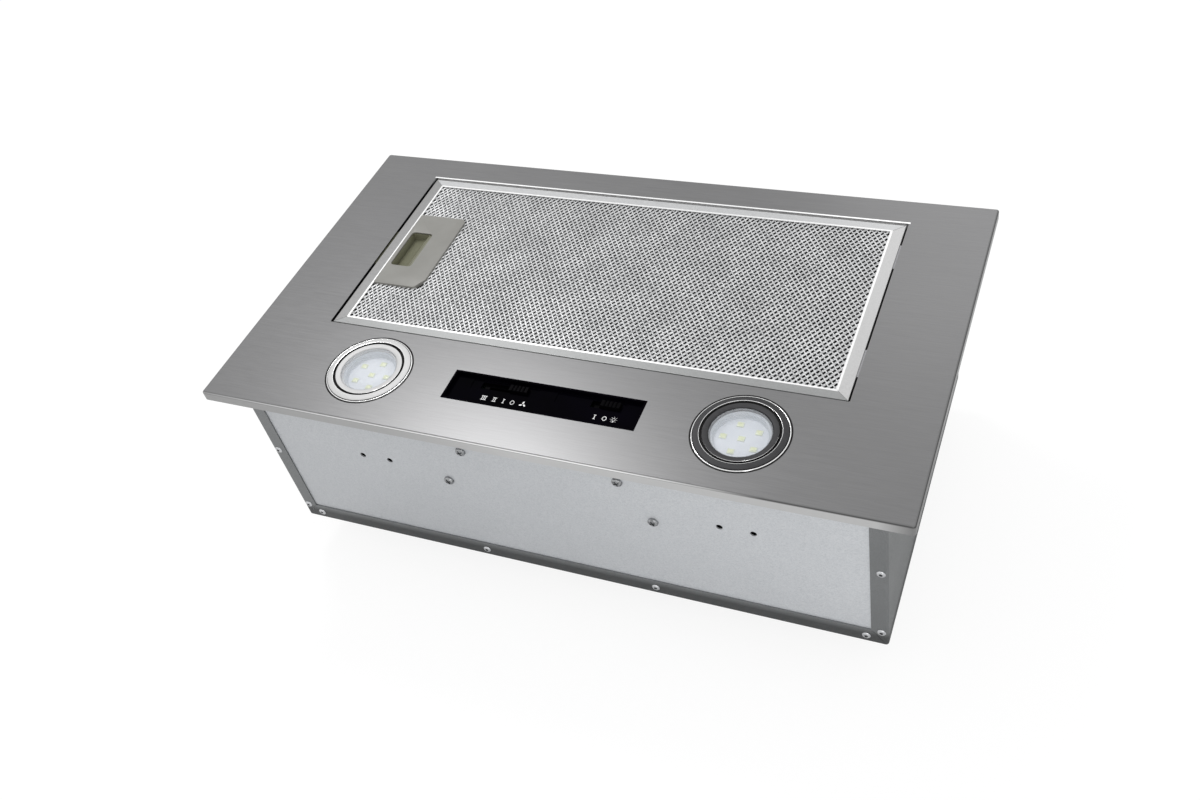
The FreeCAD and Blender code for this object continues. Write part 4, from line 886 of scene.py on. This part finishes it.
def marks():
    v = markValues
    level = nodeBox("panel_frame")[1].z - panelValues["recess"] - v["sunk"]
    foot = v["foot"]
    head = foot + v["height"]
    middle = (foot + head) / 2
    bars = []
    for x, count in v["numerals"]:  # upright strokes between two serifs
        x = x * mm
        half = (count - 1) * v["gap"] / 2 + v["overhang"]
        bars.append(markBar(x - half, x + half, foot, foot + v["serif"], level))
        bars.append(markBar(x - half, x + half, head - v["serif"], head, level))
        for n in range(count):
            stroke = x + (n - (count - 1) / 2) * v["gap"]
            bars.append(markBar(stroke - v["stroke"] / 2, stroke + v["stroke"] / 2, foot + v["serif"],
                                head - v["serif"], level))
    bars += [markRing(x * mm, middle, level, *v["zeroRing"]) for x in v["zeros"]]
    spot = Vector((v["bulb"] * mm, middle + v["bulbRise"], 0))
    bars.append(markRing(spot.x, spot.y, level, *v["bulbRing"]))
    for turn in v["rays"]:  # none where the bulb's cap is
        ray = markBar(*v["ray"], level)
        ray.data.transform(Matrix.Translation(spot) @ Matrix.Rotation(math.radians(turn), 4, "Z"))
        bars.append(ray)
    for low, high in v["capLines"]:
        bars.append(markBar(spot.x - v["capHalf"], spot.x + v["capHalf"], foot + low, foot + high, level))
    hub = Matrix.Translation((v["fan"] * mm, middle, 0))
    for n in range(v["bladeCount"]):
        blade = lathe("markBlade", [(v["blade"], level), (v["blade"], level + v["thick"])], (0, 0), 16)
        closeTurn(blade)
        blade.data.transform(hub @ Matrix.Rotation(math.radians(v["bladeTurn"] + 360 / v["bladeCount"] * n), 4, "Z")
                             @ Matrix.Translation(v["bladeOut"]) @ Matrix.Diagonal(v["bladeShape"]))
        bars.append(blade)
    finish(rename(joinTo(bars[0], bars[1:]), "panelMarks"), "ink", "housing", "panel_gloss")


panel()
marks()
print("panel made")


# rivets and screws: one of each is made at the origin

fastenerValues = {"rivet": ((3.1, 0.0), (3.1, 0.2), (2.85, 0.55), (2.3, 0.85), (1.6, 1.0), (1.25, 1.0), (1.15, 0.4),
                            (0.85, 0.4), (0.8, 0.7), (0.55, 0.75)), "rivetShadeRadius": 1.22,
                  "screw": ((3.9, 0.0), (3.9, 0.9), (3.7, 1.5), (3.2, 2.0), (2.4, 2.3), (1.4, 2.4), (0.5, 2.4)),
                  "crossLength": 2.3, "crossWidth": 0.55, "crossDepth": 1.1, "crossTurn": 25,
                  "rivetSide": (237.9, (-71.0, -140.0)), "rivetFoot": ((71.0, 227.3), -147.5), "rivetFace": 132.7,
                  "wallSpots": ((60.5, -28.0), (81.0, -65.6)), "wallFace": -131.7,
                  "scroll": (64.35, 3.9, -155.5), "duct": (64.5, 10.262, -157.5),
                  "motor": (54, -82.0, 27.0), "motorFace": 64.5}  # millimetres; radius, middle and height where round


def facing(place, direction):  # the head's +Z turned to a direction, at a place in millimetres
    turn = Vector((0, 0, 1)).rotation_difference(Vector(direction)).to_matrix().to_4x4()
    return Matrix.Translation(Vector(place) * mm) @ turn


def rivetHead():
    head = lathe("rivetHead", scaled(fastenerValues["rivet"]), (0, 0), 20)
    closeTurn(head)
    return head


def screwHead():
    v = fastenerValues
    head = lathe("screwHead", scaled(v["screw"]), (0, 0), 24)
    closeTurn(head)
    low = v["screw"][-1][1] - v["crossDepth"]
    for length, width in ((v["crossLength"], v["crossWidth"]), (v["crossWidth"], v["crossLength"])):
        cutAway(head, addBlock("cross", (-length * mm, -width * mm, low * mm), (length * mm, width * mm, 3 * mm)))
    head.data.transform(Matrix.Rotation(math.radians(v["crossTurn"]), 4, "Z"))
    return head


def spread(master, name, places, material, node):  # one master, copied to its places and joined
    obj = repeat(master, name, [facing(*place) for place in places])
    smooth(obj)
    finish(obj, material, "housing", "fastener_metal", node)
    return obj


def ringSpots(count, turn, radius):
    return [(radius * math.cos(math.radians(turn + 360 / count * n)),
             radius * math.sin(math.radians(turn + 360 / count * n))) for n in range(count)]


def fasteners():
    v = fastenerValues
    sideX, sideZ = v["rivetSide"]
    footX, footZ = v["rivetFoot"]
    spots = [(s * sideX, z) for z in sideZ for s in (-1, 1)] + [(s * x, footZ) for x in footX for s in (-1, 1)]
    rivets = spread(rivetHead(), "rivetHeads", [((x, s * v["rivetFace"], z), (0, s, 0)) for x, z in spots
                                                for s in (-1, 1)], "screw", "rivets")
    # painted shade: the rivet's hollow middle is painted near black
    paint(rivets, "darkPlastic", lambda co, n: min(math.hypot(co.x / mm - x, co.z / mm - z)
                                                   for x, z in spots) < v["rivetShadeRadius"])
    places = [((s * x, v["wallFace"], z), (0, -1, 0)) for x, z in v["wallSpots"] for s in (-1, 1)]
    spread(screwHead(), "wallScrews", places, "screwDark", "wall_screws")
    low, high = nodeBox("scroll_screws")
    x, inset, z = v["scroll"]
    places = [((s * x, y, z), (0, 0, -1)) for y in (low.y / mm + inset, high.y / mm - inset) for s in (-1, 1)]
    spread(screwHead(), "scrollScrews", places, "screw", "scroll_screws")
    radius, middle, height = v["duct"]
    places = [((x, middle + y, height), (0, 0, -1)) for x, y in ringSpots(4, 45, radius)]
    spread(screwHead(), "ductScrews", places, "screw", "duct_screws")
    radius, middle, across = v["motor"]
    places = [((v["motorFace"], across + y, middle + z), (1, 0, 0)) for y, z in ringSpots(3, 90, radius)]
    spread(screwHead(), "motorScrews", places, "screw", "motor_screws")


fasteners()
print("fasteners made")


# the nodes that keep their CAD shape, under the finish that each gets

nodeFinishes = {
    "plate": "face_plate", "wrapper": "housing_wrapper", "wall": "front_wall back_wall motor_bracket",
    "filterFrame": "filter_frame", "meshPack": "filter_core", "darkSteel": "filter_tabs motor_body",
    "board": "lamp_cup_left lamp_cup_right lamp_board_left lamp_board_right",
    "screw": "lamp_clips_left lamp_clips_right motor_shaft flap_pin",
    # painted shade: the control bracket and slide switches get the near-black lever finish so the lever slots read
    # dark
    "lever": "fan_lever light_lever slide_switches control_bracket", "circuit": "switch_board",
    "palePlastic": "lamp_driver capacitor", "darkPlastic": "terminal_box scroll_left scroll_right duct_collar",
    "rubber": "cable_gland", "greyPlastic": "fan_wheel duct_flap_front duct_flap_back",
}
for look, nodeNames in nodeFinishes.items():
    for nodeName in nodeNames.split():
        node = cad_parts[nodeName]
        node.data.materials.clear()
        node.data.materials.append(made[look])
print("frame nodes dressed")


# floor, world, lights and camera

stageValues = {"floorSize": 14.0, "floorColor": (0.86, 0.86, 0.86), "floorRough": 0.9, "worldLevel": 0.8,
               "shadow": 0.2, "glow": 1.08}


def addFloor():
    v = stageValues
    startPiece()
    bpy.ops.mesh.primitive_plane_add(size=v["floorSize"], location=(0, 0, boxAtLoad[0][2]))
    floor = settle(newest("floor"))
    material = bpy.data.materials.new("floor")
    material.use_nodes = True
    tree = material.node_tree
    shader = tree.nodes["Principled BSDF"]
    shader.inputs["Base Color"].default_value = (*v["floorColor"], 1)
    shader.inputs["Roughness"].default_value = v["floorRough"]
    glow = addNode(tree, "ShaderNodeEmission", {"Color": (1, 1, 1, 1), "Strength": v["glow"]})
    path = addNode(tree, "ShaderNodeLightPath").outputs
    seen = mathOn(tree, "MULTIPLY", path["Is Camera Ray"], 1 - v["shadow"])  # the rest of the view keeps the shadow
    mix = addNode(tree, "ShaderNodeMixShader", {0: seen, 1: shader.outputs[0], 2: glow.outputs[0]})
    tree.links.new(mix.outputs[0], tree.nodes["Material Output"].inputs["Surface"])
    floor.data.materials.append(material)


def addWorld():
    world = bpy.data.worlds.new("studio")
    bpy.context.scene.world = world
    world.use_nodes = True
    tree = world.node_tree
    background = tree.nodes["Background"]
    background.inputs["Color"].default_value = (1, 1, 1, 1)
    path = addNode(tree, "ShaderNodeLightPath").outputs
    direct = mathOn(tree, "MAXIMUM", path["Is Camera Ray"], path["Is Transmission Ray"])
    seen = mathOn(tree, "MAXIMUM", direct, path["Is Glossy Ray"])
    tree.links.new(rangeOf(tree, seen, stageValues["worldLevel"], 1.0, 0.0, 1.0), background.inputs["Strength"])


lampRows = {"softboxBack": {"place": (-0.72, 0.6, 1.342), "aim": (-0.03, -0.12, 0), "size": 0.36, "power": 6.3},
            "softboxFar": {"place": (0.16, 1.2, 0.9), "aim": (0.2, 0.1, 0), "size": 0.6, "power": 1},
            "softboxFront": {"place": (0.75, -1.35, 0.7), "aim": (0.1, 0, -0.05), "size": 0.4, "power": 2.4}}


def addLamp(name, row):
    light = bpy.data.lights.new(name, "AREA")
    light.shape = "RECTANGLE"
    light.size = light.size_y = row["size"]
    light.energy = row["power"]
    lamp = bpy.data.objects.new(name, light)
    bpy.context.scene.collection.objects.link(lamp)
    lamp.location = row["place"]
    lamp.rotation_euler = (Vector(row["aim"]) - Vector(row["place"])).to_track_quat("-Z", "Y").to_euler()


viewValues = {"place": (0.34001, -0.57696, 0.58096), "lens": 35.7, "sensor": 36,
              "right": (0.9155222, 0.3627755, -0.1738189), "down": (0.1533420, -0.7142025, -0.6829356),
              "ahead": (-0.3718942, 0.5985890, -0.7094970)}


def addCamera():
    v = viewValues
    camera = bpy.data.cameras.new("camera")
    camera.lens = v["lens"]
    camera.sensor_width = v["sensor"]
    camera.clip_start = 0.01
    obj = bpy.data.objects.new("camera", camera)
    bpy.context.scene.collection.objects.link(obj)
    turn = Matrix((v["right"], -Vector(v["down"]), -Vector(v["ahead"]))).transposed()
    obj.matrix_world = Matrix.Translation(v["place"]) @ turn.to_4x4()
    bpy.context.scene.camera = obj


addFloor()
addWorld()
for name, row in lampRows.items():
    addLamp(name, row)
addCamera()
bpy.context.scene.view_settings.view_transform = "Standard"
print("studio ready")
